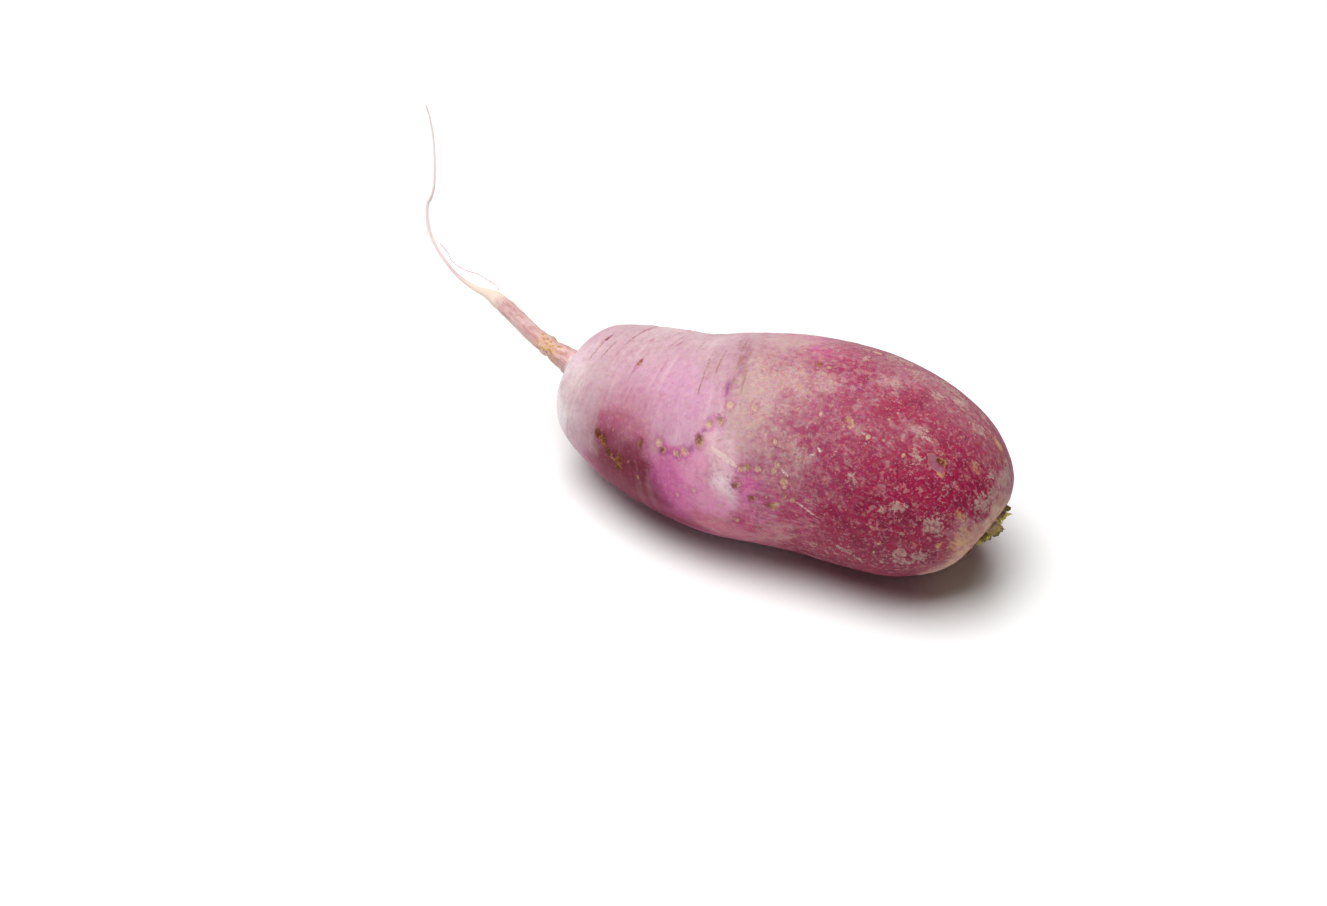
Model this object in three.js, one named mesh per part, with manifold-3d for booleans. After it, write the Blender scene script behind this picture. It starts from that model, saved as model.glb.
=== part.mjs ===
// A long purple radish, pulled and trimmed: the swollen root with its tap root, the fine side
// root that branches from the tap root, and the cut leaf-stalk stubs and heart bud on the crown.
//
// Units are millimetres and +Z is up. The radish lies on its side on the plane z = 0. The origin
// is on the small flat under the belly, +X runs along the root towards the crown, and the tap
// root leaves the other end and droops to the ground.

import * as THREE from 'three';
import { NURBSCurve } from 'three/addons/curves/NURBSCurve.js';
import { mergeVertices } from 'three/addons/utils/BufferGeometryUtils.js';
import Module from 'manifold-3d';

// ---------------------------------------------------------------------------
// Driving dimensions
// ---------------------------------------------------------------------------

// Swollen root: the control points of its gently bent axis, from the tap-root end to the crown,
// and its radius along that axis.
const ROOT_AXIS = [
  [-103, 10, 30],
  [-58, -4, 28],
  [-28, -5, 37.5],
  [-1, 3, 35],
  [32, -4.5, 35.2],
  [50.1, -6.6, 24.9],
];
const ROOT_PROFILE = [ // [distance from the tap-root end, radius]
  [0, 5.2],
  [3, 12.3],
  [9, 20.8],
  [20, 25.6],
  [35, 29.4],
  [50, 31.8],
  [65, 34.2],
  [80, 35.4],
  [95, 36],
  [110, 36],
  [125, 34.6],
  [138, 31.5],
  [147, 27],
  [154, 20.6],
  [157.3, 14.6],
];
const ROOT_SIDES = 48;
const RINGS_PER_STATION = 3;

// Tap root: it starts inside the swollen root, stands out stiffly, then thins to a thread.
const TAP_ROUTE = [
  [-97, 8.2, 29.7],
  [-108.5, 12.2, 30.8],
  [-116, 15.3, 31.3],
  [-123.5, 19, 31],
  [-130, 23.7, 30.2],
  [-137, 29.3, 28.7],
  [-150, 39.8, 24.6],
  [-163, 48.8, 18.6],
  [-177, 61, 12.3],
  [-192.5, 77.5, 6.3],
  [-201.5, 88.5, 3.8],
  [-207.5, 97.5, 2.4],
  [-212.5, 107, 1.6],
  [-214, 113.5, 1.2],
  [-217.5, 122.5, 0.9],
  [-227, 141, 0.7],
  [-237, 157.5, 0.6],
  [-244, 167, 0.5],
];
const TAP_PROFILE = [ // [distance from the start of the route, radius]
  [0, 4.6],
  [10, 4.6],
  [18, 3.4],
  [34, 3.1],
  [50, 3],
  [60, 2.7],
  [65, 2.2],
  [69, 1.4],
  [80, 0.9],
  [95, 0.65],
  [115, 0.5],
  [145, 0.42],
  [185, 0.35],
  [228, 0.28],
];
const TAP_SIDES = 12;
const TAP_RINGS_PER_STATION = 6;

// Side root: one fine hair beside the tap root, from the end of its thick part.
const SIDE_ROOT_RADIUS = 0.25;
const SIDE_ROOT_SIDES = 8;
const SIDE_ROOT_STEPS = 30;
const SIDE_ROOT_ROUTE = [
  [-149.9, 42.9, 27.4],
  [-154.9, 45.3, 26.8],
  [-161.4, 49.7, 24.5],
  [-167.9, 54, 20.8],
  [-174.5, 59.5, 17],
  [-180.6, 65.5, 13.8],
  [-185.1, 71.6, 11.3],
  [-190.1, 77, 8.9],
  [-194.9, 82.4, 6.3],
];

// Crown: the leaf stalks were cut short, and their stubs stand in a spiral round the heart bud.
// The heights are listed from the innermost stub outwards: one slanting cut left them uneven.
const STUB_HEIGHTS = [2.4, 3, 4.6, 1.4, 3.8, 2.6, 1.6, 3.4, 1.2, 4, 4.6, 1.2, 2.6];
const STUB_SPACING = 3;
const STUB_INNER_STEP = 1.2;
const STUB_WIDTH = 4.6;
const STUB_THICKNESS = 2.8;
const STUB_GROOVE = 0.7;
const STUB_SPLAY = THREE.MathUtils.degToRad(17);
const STUB_CUT_SLOPE = 0.2;
const STUB_ARC_STEPS = 9;
const GOLDEN_ANGLE = Math.PI * (3 - Math.sqrt(5));
const SPIRAL_START = THREE.MathUtils.degToRad(40);
const BUD_PROFILE = [ // [radius, height]
  [0, 0],
  [1.5, 0],
  [1.8, 1],
  [1.5, 2.4],
  [0.8, 3.4],
  [0, 3.8],
];
const BUD_SIDES = 12;
const GROWTH_GAP = 0.3; // left between pieces that grow on one another

// ---------------------------------------------------------------------------
// Materials
// ---------------------------------------------------------------------------

const skin = new THREE.MeshStandardMaterial({ color: 0xa4456f, roughness: 0.55, metalness: 0 });
const fineRoot = new THREE.MeshStandardMaterial({ color: 0xc9a9b4, roughness: 0.7, metalness: 0 });
const leafStalk = new THREE.MeshStandardMaterial({ color: 0x96873c, roughness: 0.75, metalness: 0 });
const heart = new THREE.MeshStandardMaterial({ color: 0xb0a860, roughness: 0.7, metalness: 0 });

// ---------------------------------------------------------------------------
// Geometry helpers
// ---------------------------------------------------------------------------

const UP = new THREE.Vector3(0, 0, 1);

/** A smooth curve that passes through a list of [x, y, z] points. */
function curveThrough(points) {
  return new THREE.CatmullRomCurve3(points.map((point) => new THREE.Vector3(...point)), false, 'catmullrom');
}

/** A cubic B-spline that starts and ends on its first and last control points and bends gently between. */
function softCurve(points) {
  const degree = 3;
  const spans = points.length - degree;
  const inner = Array.from({ length: spans - 1 }, (_, i) => i + 1);
  const knots = [...Array(degree + 1).fill(0), ...inner, ...Array(degree + 1).fill(spans)];
  return new NURBSCurve(degree, knots, points.map((point) => new THREE.Vector4(...point, 1)));
}

/** The directions at a fraction of a curve: along it, level across it, and the one square to both. */
function curveFrame(curve, fraction) {
  const centre = curve.getPointAt(fraction);
  const along = curve.getTangentAt(fraction);
  const side = new THREE.Vector3().crossVectors(along, UP).normalize();
  const lift = new THREE.Vector3().crossVectors(side, along);
  return { centre, along, side, lift };
}

/**
 * A closed round body whose axis follows a curve. The profile is a list of [distance, radius];
 * a lathe turned about Y is bent ring by ring, so Y becomes the distance along the curve.
 */
function roundBody(profile, curve, sides, ringsPerStation) {
  const length = profile.at(-1)[0];
  const spline = new THREE.SplineCurve(profile.map(([distance, radius]) => new THREE.Vector2(radius, distance)));
  const outline = spline.getPoints((profile.length - 1) * ringsPerStation);
  outline.unshift(new THREE.Vector2(0, 0));
  outline.push(new THREE.Vector2(0, length));
  const geometry = new THREE.LatheGeometry(outline, sides);
  const position = geometry.attributes.position;
  const point = new THREE.Vector3();
  for (let i = 0; i < position.count; i += 1) {
    point.fromBufferAttribute(position, i);
    const frame = curveFrame(curve, THREE.MathUtils.clamp(point.y / length, 0, 1));
    frame.centre.addScaledVector(frame.side, point.x).addScaledVector(frame.lift, point.z);
    position.setXYZ(i, ...frame.centre);
  }
  return geometry;
}

/** Presses whatever reaches below the ground flat onto it. */
function restOnGround(geometry) {
  const position = geometry.attributes.position;
  for (let i = 0; i < position.count; i += 1) {
    position.setZ(i, Math.max(position.getZ(i), 0));
  }
  return geometry;
}

/** Merges a geometry's shared vertices and drops the triangles that have no area left. */
function weld(geometry) {
  const bare = new THREE.BufferGeometry();
  bare.setAttribute('position', geometry.attributes.position.clone());
  bare.setIndex(geometry.index ? [...geometry.index.array] : [...Array(bare.attributes.position.count).keys()]);
  const merged = mergeVertices(bare, 1e-4);
  const corners = merged.index.array;
  const kept = [];
  for (let i = 0; i < corners.length; i += 3) {
    const [a, b, c] = [corners[i], corners[i + 1], corners[i + 2]];
    if (a !== b && b !== c && c !== a) kept.push(a, b, c);
  }
  merged.setIndex(kept);
  return merged;
}

const wasm = await Module();
wasm.setup();

/** A manifold solid from a closed geometry. */
function toSolid(geometry) {
  const welded = weld(geometry);
  return new wasm.Manifold(new wasm.Mesh({
    numProp: 3,
    vertProperties: new Float32Array(welded.attributes.position.array),
    triVerts: new Uint32Array(welded.index.array),
  }));
}

/** A three.js geometry from a manifold solid. */
function fromSolid(solid) {
  const mesh = solid.getMesh();
  const geometry = new THREE.BufferGeometry();
  geometry.setAttribute('position', new THREE.BufferAttribute(new Float32Array(mesh.vertProperties), 3));
  geometry.setIndex(new THREE.BufferAttribute(new Uint32Array(mesh.triVerts), 1));
  geometry.computeVertexNormals();
  return geometry;
}

/** A named mesh. */
function piece(name, geometry, material) {
  const mesh = new THREE.Mesh(geometry, material);
  mesh.name = name;
  return mesh;
}

// ---------------------------------------------------------------------------
// Root: the swollen root and its tap root grew as one piece
// ---------------------------------------------------------------------------

const rootCurve = softCurve(ROOT_AXIS);

function makeRoot() {
  const swollen = restOnGround(roundBody(ROOT_PROFILE, rootCurve, ROOT_SIDES, RINGS_PER_STATION));
  const tap = roundBody(TAP_PROFILE, curveThrough(TAP_ROUTE), TAP_SIDES, TAP_RINGS_PER_STATION);
  const joined = toSolid(swollen).add(toSolid(tap));
  return piece('root', fromSolid(joined), skin);
}

// ---------------------------------------------------------------------------
// Side root: a thin round hair
// ---------------------------------------------------------------------------

function makeSideRoot() {
  const section = new THREE.Shape();
  for (let i = 0; i < SIDE_ROOT_SIDES; i += 1) {
    const angle = (i / SIDE_ROOT_SIDES) * 2 * Math.PI;
    const x = SIDE_ROOT_RADIUS * Math.cos(angle);
    const y = SIDE_ROOT_RADIUS * Math.sin(angle);
    if (i === 0) section.moveTo(x, y);
    else section.lineTo(x, y);
  }
  const geometry = new THREE.ExtrudeGeometry(section, {
    extrudePath: curveThrough(SIDE_ROOT_ROUTE),
    steps: SIDE_ROOT_STEPS,
  });
  return piece('side_root', geometry, fineRoot);
}

// ---------------------------------------------------------------------------
// Crown: leaf-stalk stubs and the heart bud
// ---------------------------------------------------------------------------

/**
 * A stub's section, convex away from the heart (+X): half an ellipse, with a shallow groove
 * in the side that faces the heart.
 */
function stubSection() {
  const outer = [];
  const inner = [];
  for (let i = 0; i <= STUB_ARC_STEPS; i += 1) {
    const angle = Math.PI * (i / STUB_ARC_STEPS);
    const y = -0.5 * STUB_WIDTH * Math.cos(angle);
    outer.push(new THREE.Vector2(STUB_THICKNESS * Math.sin(angle), y));
    if (i > 0 && i < STUB_ARC_STEPS) inner.unshift(new THREE.Vector2(STUB_GROOVE * Math.sin(angle), y));
  }
  return new THREE.Shape([...outer, ...inner]);
}

/** A cut stalk: its section drawn up to a height, leaning outwards, with an oblique cut on top. */
function stubGeometry(height) {
  const geometry = new THREE.ExtrudeGeometry(stubSection(), { depth: height, steps: 2, bevelEnabled: false });
  const position = geometry.attributes.position;
  for (let i = 0; i < position.count; i += 1) {
    const level = position.getZ(i);
    const slope = STUB_CUT_SLOPE * (position.getY(i) / STUB_WIDTH);
    position.setX(i, position.getX(i) - 0.5 * STUB_THICKNESS + level * Math.tan(STUB_SPLAY));
    position.setZ(i, level * (1 + slope));
  }
  return geometry;
}

/** The crown's group: its z axis points straight out of the cut crown. */
function makeCrown() {
  const crown = new THREE.Group();
  const { centre, along, side, lift } = curveFrame(rootCurve, 1);
  const basis = new THREE.Matrix4().makeBasis(side.clone().negate(), lift, along);
  crown.position.copy(centre);
  crown.quaternion.setFromRotationMatrix(basis);

  STUB_HEIGHTS.forEach((height, i) => {
    const turn = SPIRAL_START + (i + 1) * GOLDEN_ANGLE;
    const reach = STUB_SPACING * Math.sqrt(i + STUB_INNER_STEP);
    const stub = piece(`leaf_stub_${String(i + 1).padStart(2, '0')}`, stubGeometry(height), leafStalk);
    stub.position.set(reach * Math.cos(turn), reach * Math.sin(turn), GROWTH_GAP);
    stub.rotation.z = turn;
    crown.add(stub);
  });

  const budOutline = BUD_PROFILE.map(([radius, height]) => new THREE.Vector2(radius, height));
  const bud = piece('heart_bud', new THREE.LatheGeometry(budOutline, BUD_SIDES), heart);
  bud.rotation.x = Math.PI / 2;
  bud.position.z = GROWTH_GAP;
  crown.add(bud);
  return crown;
}

// ---------------------------------------------------------------------------
// The radish
// ---------------------------------------------------------------------------

const radish = new THREE.Group();
radish.add(makeRoot());
radish.add(makeSideRoot());
radish.add(makeCrown());

export default radish;
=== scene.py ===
"""Dresses the purple radish: skin, tap root, side root, cut leaf stalks, heart bud and studio.

Lengths in this file are millimetres until a mesh is stored, which is in metres. A place on the
root is given by its distance from the tap-root end of the swollen root, negative along the tap
root, and by an angle round it: 0 degrees faces the front, 90 the top, 180 the back.
"""

import math

import bpy
import numpy as np
from bpy.props import FloatProperty, FloatVectorProperty, PointerProperty
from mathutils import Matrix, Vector


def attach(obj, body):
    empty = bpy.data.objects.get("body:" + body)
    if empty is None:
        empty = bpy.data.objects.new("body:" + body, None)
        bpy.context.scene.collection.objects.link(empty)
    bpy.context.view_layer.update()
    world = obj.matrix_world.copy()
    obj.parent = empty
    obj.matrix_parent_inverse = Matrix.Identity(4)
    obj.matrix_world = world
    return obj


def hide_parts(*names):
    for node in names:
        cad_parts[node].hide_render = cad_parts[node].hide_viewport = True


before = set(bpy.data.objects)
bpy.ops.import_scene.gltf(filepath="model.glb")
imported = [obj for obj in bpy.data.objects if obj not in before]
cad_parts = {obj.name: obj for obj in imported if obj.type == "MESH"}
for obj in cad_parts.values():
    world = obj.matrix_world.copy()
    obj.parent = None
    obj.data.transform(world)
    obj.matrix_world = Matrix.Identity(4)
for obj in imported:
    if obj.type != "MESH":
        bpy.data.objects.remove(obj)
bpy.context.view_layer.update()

bl_info = {
    "name": "Purple radish",
    "version": (1, 0, 0),
    "blender": (4, 5, 0),
    "location": "View3D > Sidebar > Radish",
    "description": "Builds the skin, roots, leaf-stalk stubs and studio of a long purple radish",
    "category": "Object",
}

BODY = "root"
MM = 0.001
UP = np.array([0.0, 0.0, 1.0])
GOLDEN_ANGLE = math.pi * (3 - math.sqrt(5))

# ---------------------------------------------------------------------------
# Dimensions shared with the solids. Two are this file's own: between 65 and 82 mm the tap root's
# radius is up to 0.3 mm larger than the solid's, and the side root's is 0.34 where the solid's is 0.25.
# ---------------------------------------------------------------------------

ROOT_LENGTH = 157.3
ROOT_AXIS = [
    (-103, 10, 30), (-58, -4, 28), (-28, -5, 37.5), (-1, 3, 35), (32, -4.5, 35.2), (50.1, -6.6, 24.9),
]
ROOT_PROFILE = [  # (distance, radius)
    (0, 5.2), (3, 12.3), (9, 20.8), (20, 25.6), (35, 29.4), (50, 31.8), (65, 34.2), (80, 35.4),
    (95, 36), (110, 36), (125, 34.6), (138, 31.5), (147, 27), (154, 20.6), (157.3, 14.6),
]
TAP_ROUTE = [
    (-97, 8.2, 29.7), (-108.5, 12.2, 30.8), (-116, 15.3, 31.3), (-123.5, 19, 31),
    (-130, 23.7, 30.2), (-137, 29.3, 28.7), (-150, 39.8, 24.6), (-163, 48.8, 18.6),
    (-177, 61, 12.3), (-192.5, 77.5, 6.3), (-201.5, 88.5, 3.8), (-207.5, 97.5, 2.4),
    (-212.5, 107, 1.6), (-214, 113.5, 1.2), (-217.5, 122.5, 0.9), (-227, 141, 0.7),
    (-237, 157.5, 0.6), (-244, 167, 0.5),
]
TAP_PROFILE = [  # (distance from the start of the route, radius)
    (0, 4.6), (10, 4.6), (18, 3.4), (34, 3.1), (50, 3), (60, 2.7), (65, 2.25), (70, 1.6), (76, 1.2),
    (82, 0.95), (95, 0.65), (115, 0.5), (145, 0.42), (185, 0.35), (228, 0.28),
]
SIDE_ROOT_RADIUS = 0.34
SIDE_ROOT_ROUTE = [
    (-149.9, 42.9, 27.4), (-154.9, 45.3, 26.8), (-161.4, 49.7, 24.5), (-167.9, 54, 20.8),
    (-174.5, 59.5, 17), (-180.6, 65.5, 13.8), (-185.1, 71.6, 11.3), (-190.1, 77, 8.9),
    (-194.9, 82.4, 6.3),
]
STUB_HEIGHTS = [2.4, 3, 4.6, 1.4, 3.8, 2.6, 1.6, 3.4, 1.2, 4, 4.6, 1.2, 2.6]
STUB_SPACING = 3.0
STUB_INNER_STEP = 1.2
STUB_WIDTH = 4.6
STUB_THICKNESS = 2.8
STUB_GROOVE = 0.7
STUB_SPLAY = math.radians(17)
SPIRAL_START = math.radians(40)
BUD_PROFILE = [(0, 0), (1.5, 0), (1.8, 1), (1.5, 2.4), (0.8, 3.4), (0, 3.8)]  # (radius, height)
GROWTH_GAP = 0.3

# ---------------------------------------------------------------------------
# Curves
# ---------------------------------------------------------------------------

AXIS_STEP = 0.25
JOINT_REACH = 16  # points to each side of the place where the tap root's line meets the body's
JOINT_ROUNDS = 60


def soft_curve(points, count):
    """A clamped cubic B-spline: the control points weighted by the Cox-de Boor basis functions."""
    degree = 3
    spans = len(points) - degree
    knots = np.r_[np.zeros(degree), np.arange(spans + 1.0), np.full(degree, spans)]
    place = np.linspace(0, spans - 1e-9, count)
    basis = ((knots[:-1, None] <= place) & (place < knots[1:, None])).astype(float)
    for order in range(1, degree + 1):
        low, high = knots[: -order - 1, None], knots[order + 1 :, None]
        rise_span = knots[order:-1, None] - low
        fall_span = high - knots[1:-order, None]
        rise = np.divide(place - low, rise_span, out=np.zeros_like(basis[:-1]), where=rise_span > 0)
        fall = np.divide(high - place, fall_span, out=np.zeros_like(basis[:-1]), where=fall_span > 0)
        basis = rise * basis[:-1] + fall * basis[1:]
    return basis.T @ np.asarray(points, float)


def curve_through(points, steps, reflect=True):
    """A uniform Catmull-Rom curve: on each span a cubic whose end slopes are half the chord
    between the neighbouring points; beyond its ends the list is reflected or repeated."""
    p = np.asarray(points, float)
    before, after = (2 * p[0] - p[1], 2 * p[-1] - p[-2]) if reflect else (p[0], p[-1])
    p = np.vstack([before, p, after])
    place = np.linspace(0, len(p) - 3, steps * (len(p) - 3) + 1)
    i = np.minimum(place.astype(int), len(p) - 4)
    f = (place - i)[:, None]
    a, b, c, d = p[i], p[i + 1], p[i + 2], p[i + 3]
    return 0.5 * (2 * b + (c - a) * f + (2 * a - 5 * b + 4 * c - d) * f**2
                  + (3 * b - a - 3 * c + d) * f**3)


def run_length(line):
    """The distance along a line of points at each of them."""
    return np.r_[0, np.cumsum(np.linalg.norm(np.diff(line, axis=0), axis=1))]


def resample(line, step):
    """The same line with points a step apart."""
    length = run_length(line)
    place = np.linspace(0, length[-1], max(2, int(round(length[-1] / step)) + 1))
    return np.stack([np.interp(place, length, line[:, k]) for k in range(line.shape[1])], 1)


def soften(line, first, last, rounds):
    """Evens a stretch of a line: each point moves to the mean of itself and its neighbours."""
    line = line.copy()
    for _ in range(rounds):
        line[first:last] = (line[first - 1 : last - 1] + line[first:last] + line[first + 1 : last + 1]) / 3
    return line


def unit(vectors):
    """Vectors of length one."""
    return vectors / np.linalg.norm(vectors, axis=-1, keepdims=True)


class Axis:
    """A line with distances along it, and the three directions at each distance: along it,
    level across it towards the front, and square to both."""

    def __init__(self, line, start):
        self.line = line
        self.distance = run_length(line) + start
        self.along = unit(np.gradient(line, axis=0))

    def look_up(self, values, distance):
        """Values known at the line's points, read off at distances."""
        return np.stack([np.interp(distance, self.distance, values[:, k]) for k in range(3)], -1)

    def frame(self, distance):
        """Centre, along, side and lift at distances; past its last point the axis runs straight on."""
        over = np.maximum(distance - self.distance[-1], 0)[..., None]
        along = unit(self.look_up(self.along, distance))
        centre = self.look_up(self.line, distance) + over * along
        side = unit(np.cross(along, UP))
        return centre, along, side, np.cross(side, along)


def whole_axis():
    """Tap root and swollen root on one line, from the tip to the crown, with 0 where the swelling
    starts. A few points on each side of that place are left out, and the bend there is eased."""
    body = resample(soft_curve(ROOT_AXIS, 2400), AXIS_STEP)
    tap = resample(curve_through(TAP_ROUTE, 60), AXIS_STEP)
    pole = int(np.argmin(np.linalg.norm(tap - body[0], axis=1)))
    line = np.vstack([tap[: pole + 8 : -1], body[10:]])
    joint = len(tap) - pole - 9
    line = soften(line, joint - JOINT_REACH, joint + JOINT_REACH, JOINT_ROUNDS)
    line = resample(line, AXIS_STEP)
    body_length = run_length(body)[-1]
    return Axis(line, body_length - run_length(line)[-1]), body_length


AXIS, AXIS_LENGTH = whole_axis()

# ---------------------------------------------------------------------------
# Noise and marks
# ---------------------------------------------------------------------------


NOISE_TABLE = 8192
SKIN_REACH = 30  # patterns see the whole swollen root at this radius, so their scale stays the same
ROSE_START = 84  # where the rose half begins, before its edge is shifted


def smooth(value, low, high):
    """A smooth step: 0 up to low, 1 from high, and 3t2 - 2t3 between."""
    t = np.clip((value - low) / (high - low), 0, 1)
    return t * t * (3 - 2 * t)


def value_noise(points, seed):
    """A seeded random number at every whole-number corner of space, blended smoothly between
    the eight corners round a point; from -1 to 1."""
    table = np.random.default_rng(seed).uniform(-1, 1, NOISE_TABLE)
    cell = np.floor(points).astype(np.int64)
    f = points - cell
    f = f * f * (3 - 2 * f)
    total = 0.0
    for corner in range(8):
        step = np.array([corner & 1, corner >> 1 & 1, corner >> 2 & 1])
        x, y, z = np.moveaxis(cell + step, -1, 0)
        pick = (x * 73856093 ^ y * 19349663 ^ z * 83492791) % NOISE_TABLE
        total = total + table[pick] * np.prod(np.where(step, f, 1 - f), axis=-1)
    return total


def layered_noise(points, octaves, seed):
    """Noise summed over octaves, each twice as fine and half as strong; about -1 to 1."""
    weights = 0.5 ** np.arange(octaves)
    layers = [w * value_noise(points * 2.0**k + 17.3 * k, seed + k) for k, w in enumerate(weights)]
    return sum(layers) / weights.sum()


def round_by(angle, centre):
    """The angle from a centre, the short way round, in degrees."""
    return (angle - centre + 180) % 360 - 180


def on_skin(angle, distance, reach=SKIN_REACH):
    """Places in space for skin patterns: round a straight axis at a reach, and along it."""
    turn = np.radians(angle)
    return np.stack([reach * np.cos(turn), reach * np.sin(turn), distance], 1)


def blots(distance, angle, radius, marks):
    """A field of soft spots: the strongest at each place of amount * exp(-reach squared), where
    reach is the distance from a mark's centre over its own half sizes along and round the root."""
    field = np.zeros(distance.shape)
    for s, turn, half_along, half_round, amount in marks:
        away = np.radians(round_by(angle, turn)) * radius / half_round
        reach = ((distance - s) / half_along) ** 2 + away**2
        field = np.maximum(field, amount * np.exp(-reach))
    return field


def streaks(distance, angle, radius, lines):
    """How near a place is to the nearest of a few straight strokes: 1.4 less the distance from the
    stroke over its half width, and never under 0; a stroke tapers to its two ends."""
    field = np.zeros(distance.shape)
    for s0, turn0, s1, turn1, half_width in lines:
        x, y = distance - s0, np.radians(round_by(angle, turn0)) * radius
        dx, dy = s1 - s0, math.radians(turn1 - turn0) * np.interp(s0, *np.transpose(ROOT_PROFILE))
        t = np.clip((x * dx + y * dy) / (dx * dx + dy * dy), 0, 1)
        away = np.hypot(x - t * dx, y - t * dy) / (half_width * (0.45 + 0.55 * np.sin(np.pi * t)))
        field = np.maximum(field, np.clip(1.4 - away, 0, 1.4))
    return field


# In the lists of marks a place is (distance, angle), and sizes are half sizes along the root and
# round it. THICK, THIN, CORK and STRAW hold (distance, angle, half along, half round, amount).
SCARS = [  # (distance, angle, half along, half round, way to its pit: 0 crownwards, 90 up, paleness)
    (33.0, 13.6, 1.4, 2.0, 160, 0.0), (35.1, 11.6, 1.3, 2.2, 60, 0.0), (38.0, 5.4, 1.2, 1.6, 150, 0.0),
    (39.6, 2.2, 1.1, 1.3, 300, 0.3), (41.9, 4.4, 1.3, 2.0, 70, 0.0), (41.5, -0.6, 1.3, 1.4, 250, 0.1),
    (49.4, 22.4, 0.9, 2.2, 20, 0.25), (48.8, -1.5, 0.6, 1.0, 90, 0.6), (45.6, 7, 0.6, 1.0, 90, 0.6),
    (56.4, 27.6, 1.2, 1.7, 60, 0.75), (58, 24.6, 1.1, 1.5, 200, 0.35), (61.8, 25, 0.8, 1.2, 100, 0.8),
    (63, 23.6, 0.7, 1.5, 100, 0.5), (64.8, 27, 1.1, 1.7, 80, 0.65), (68.6, 34, 1.2, 2.1, 130, 0.3),
    (70.6, 44.2, 1.0, 1.7, 60, 0.6), (73.2, 46.4, 0.9, 1.7, 110, 0.45),
    (74.8, 55.7, 0.9, 1.5, 90, 0.85), (80.7, 55.8, 0.8, 1.6, 90, 0.7), (37.1, 69.3, 0.7, 2.0, 95, 0.25),
    (16.3, 83, 0.5, 2.4, 90, 0.1), (33.7, 91.5, 0.5, 1.3, 90, 0.4), (46, 94.5, 0.5, 1.2, 90, 0.5),
    (26, 106, 0.6, 1.6, 90, 0.5), (77.5, 12.8, 0.9, 1.3, 200, 0.3), (78.4, 13.4, 0.7, 1.0, 0, 0.9),
    (82.3, 6.4, 1.2, 1.1, 200, 0.35), (83.3, 23.8, 1.0, 1.4, 95, 0.7), (79.2, 22.6, 1.1, 1.3, 95, 0.6),
    (80.6, 23.8, 0.9, 1.5, 20, 0.45), (76.5, -12, 0.8, 1.4, 90, 0.65), (61.4, -2.5, 0.6, 1.0, 0, 0.95),
    (66.6, 4.6, 0.6, 1.1, 90, 0.93), (72.7, -2.5, 0.7, 0.9, 90, 0.98), (87.3, 39.6, 0.7, 1.2, 90, 0.8),
    (88.9, 28.2, 0.9, 1.5, 90, 0.7), (88.1, 24.4, 1.0, 1.3, 200, 0.75),
    (92.1, 19.4, 1.9, 1.7, 110, 0.7), (92.6, 16.8, 1.2, 0.9, 0, 0.95), (86.2, 8.4, 0.6, 0.9, 90, 0.8),
    (92.9, 11.2, 1.1, 1.2, 160, 0.55), (96.7, 10.2, 1.4, 1.1, 110, 0.6),
    (88.6, 3.4, 1.6, 1.6, 185, 0.45), (90.2, 5.2, 1.4, 1.2, 0, 0.98), (112.4, 60.6, 1.6, 1.2, 200, 0.5),
    (114, 58.2, 1.2, 1.4, 120, 0.6), (120, 56.4, 0.8, 1.1, 0, 0.85), (100.3, 58.5, 0.8, 0.8, 0, 0.9),
    (91.2, 57.8, 0.6, 0.7, 0, 0.7), (92.1, 58.6, 0.5, 0.7, 0, 0.8), (130.4, 57, 0.5, 1.1, 0, 1.0),
    (93.8, 85, 0.6, 0.6, 0, 0.9), (93.8, 88, 0.9, 0.9, 0, 0.2), (97, 87.5, 0.8, 0.9, 0, 0.9),
    (109.4, -2.6, 1.3, 0.5, 0, 0.98), (131.4, 12, 0.6, 0.7, 0, 0.98), (139.8, 16, 0.8, 0.7, 0, 0.98),
    (138.7, 66.8, 1.0, 1.1, 200, 0.0), (122.5, 70.4, 0.5, 0.5, 0, 1.0), (124, 58.8, 0.5, 0.6, 0, 1.0),
    (132.3, 86, 0.5, 0.5, 0, 1.0), (112.5, 41, 0.5, 0.6, 0, 0.98), (118, 39, 0.4, 0.5, 0, 0.98),
    (134.6, -5.5, 0.5, 0.7, 0, 0.98), (135, 2.4, 0.5, 0.6, 0, 0.98), (126, -22, 0.5, 0.6, 0, 0.9),
]
STRAY_SCARS = 40  # more scars on the back, drawn at random
STRAY_SEED = 11
STRAY_RANGES = [(12, 118), (112, 300), (0.6, 1.5), (0.9, 2.0), (0, 360), (0.1, 0.9)]  # as SCARS
FAR_FROM_SCARS = 3.0
PIT_ASIDE = 0.45

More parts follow.
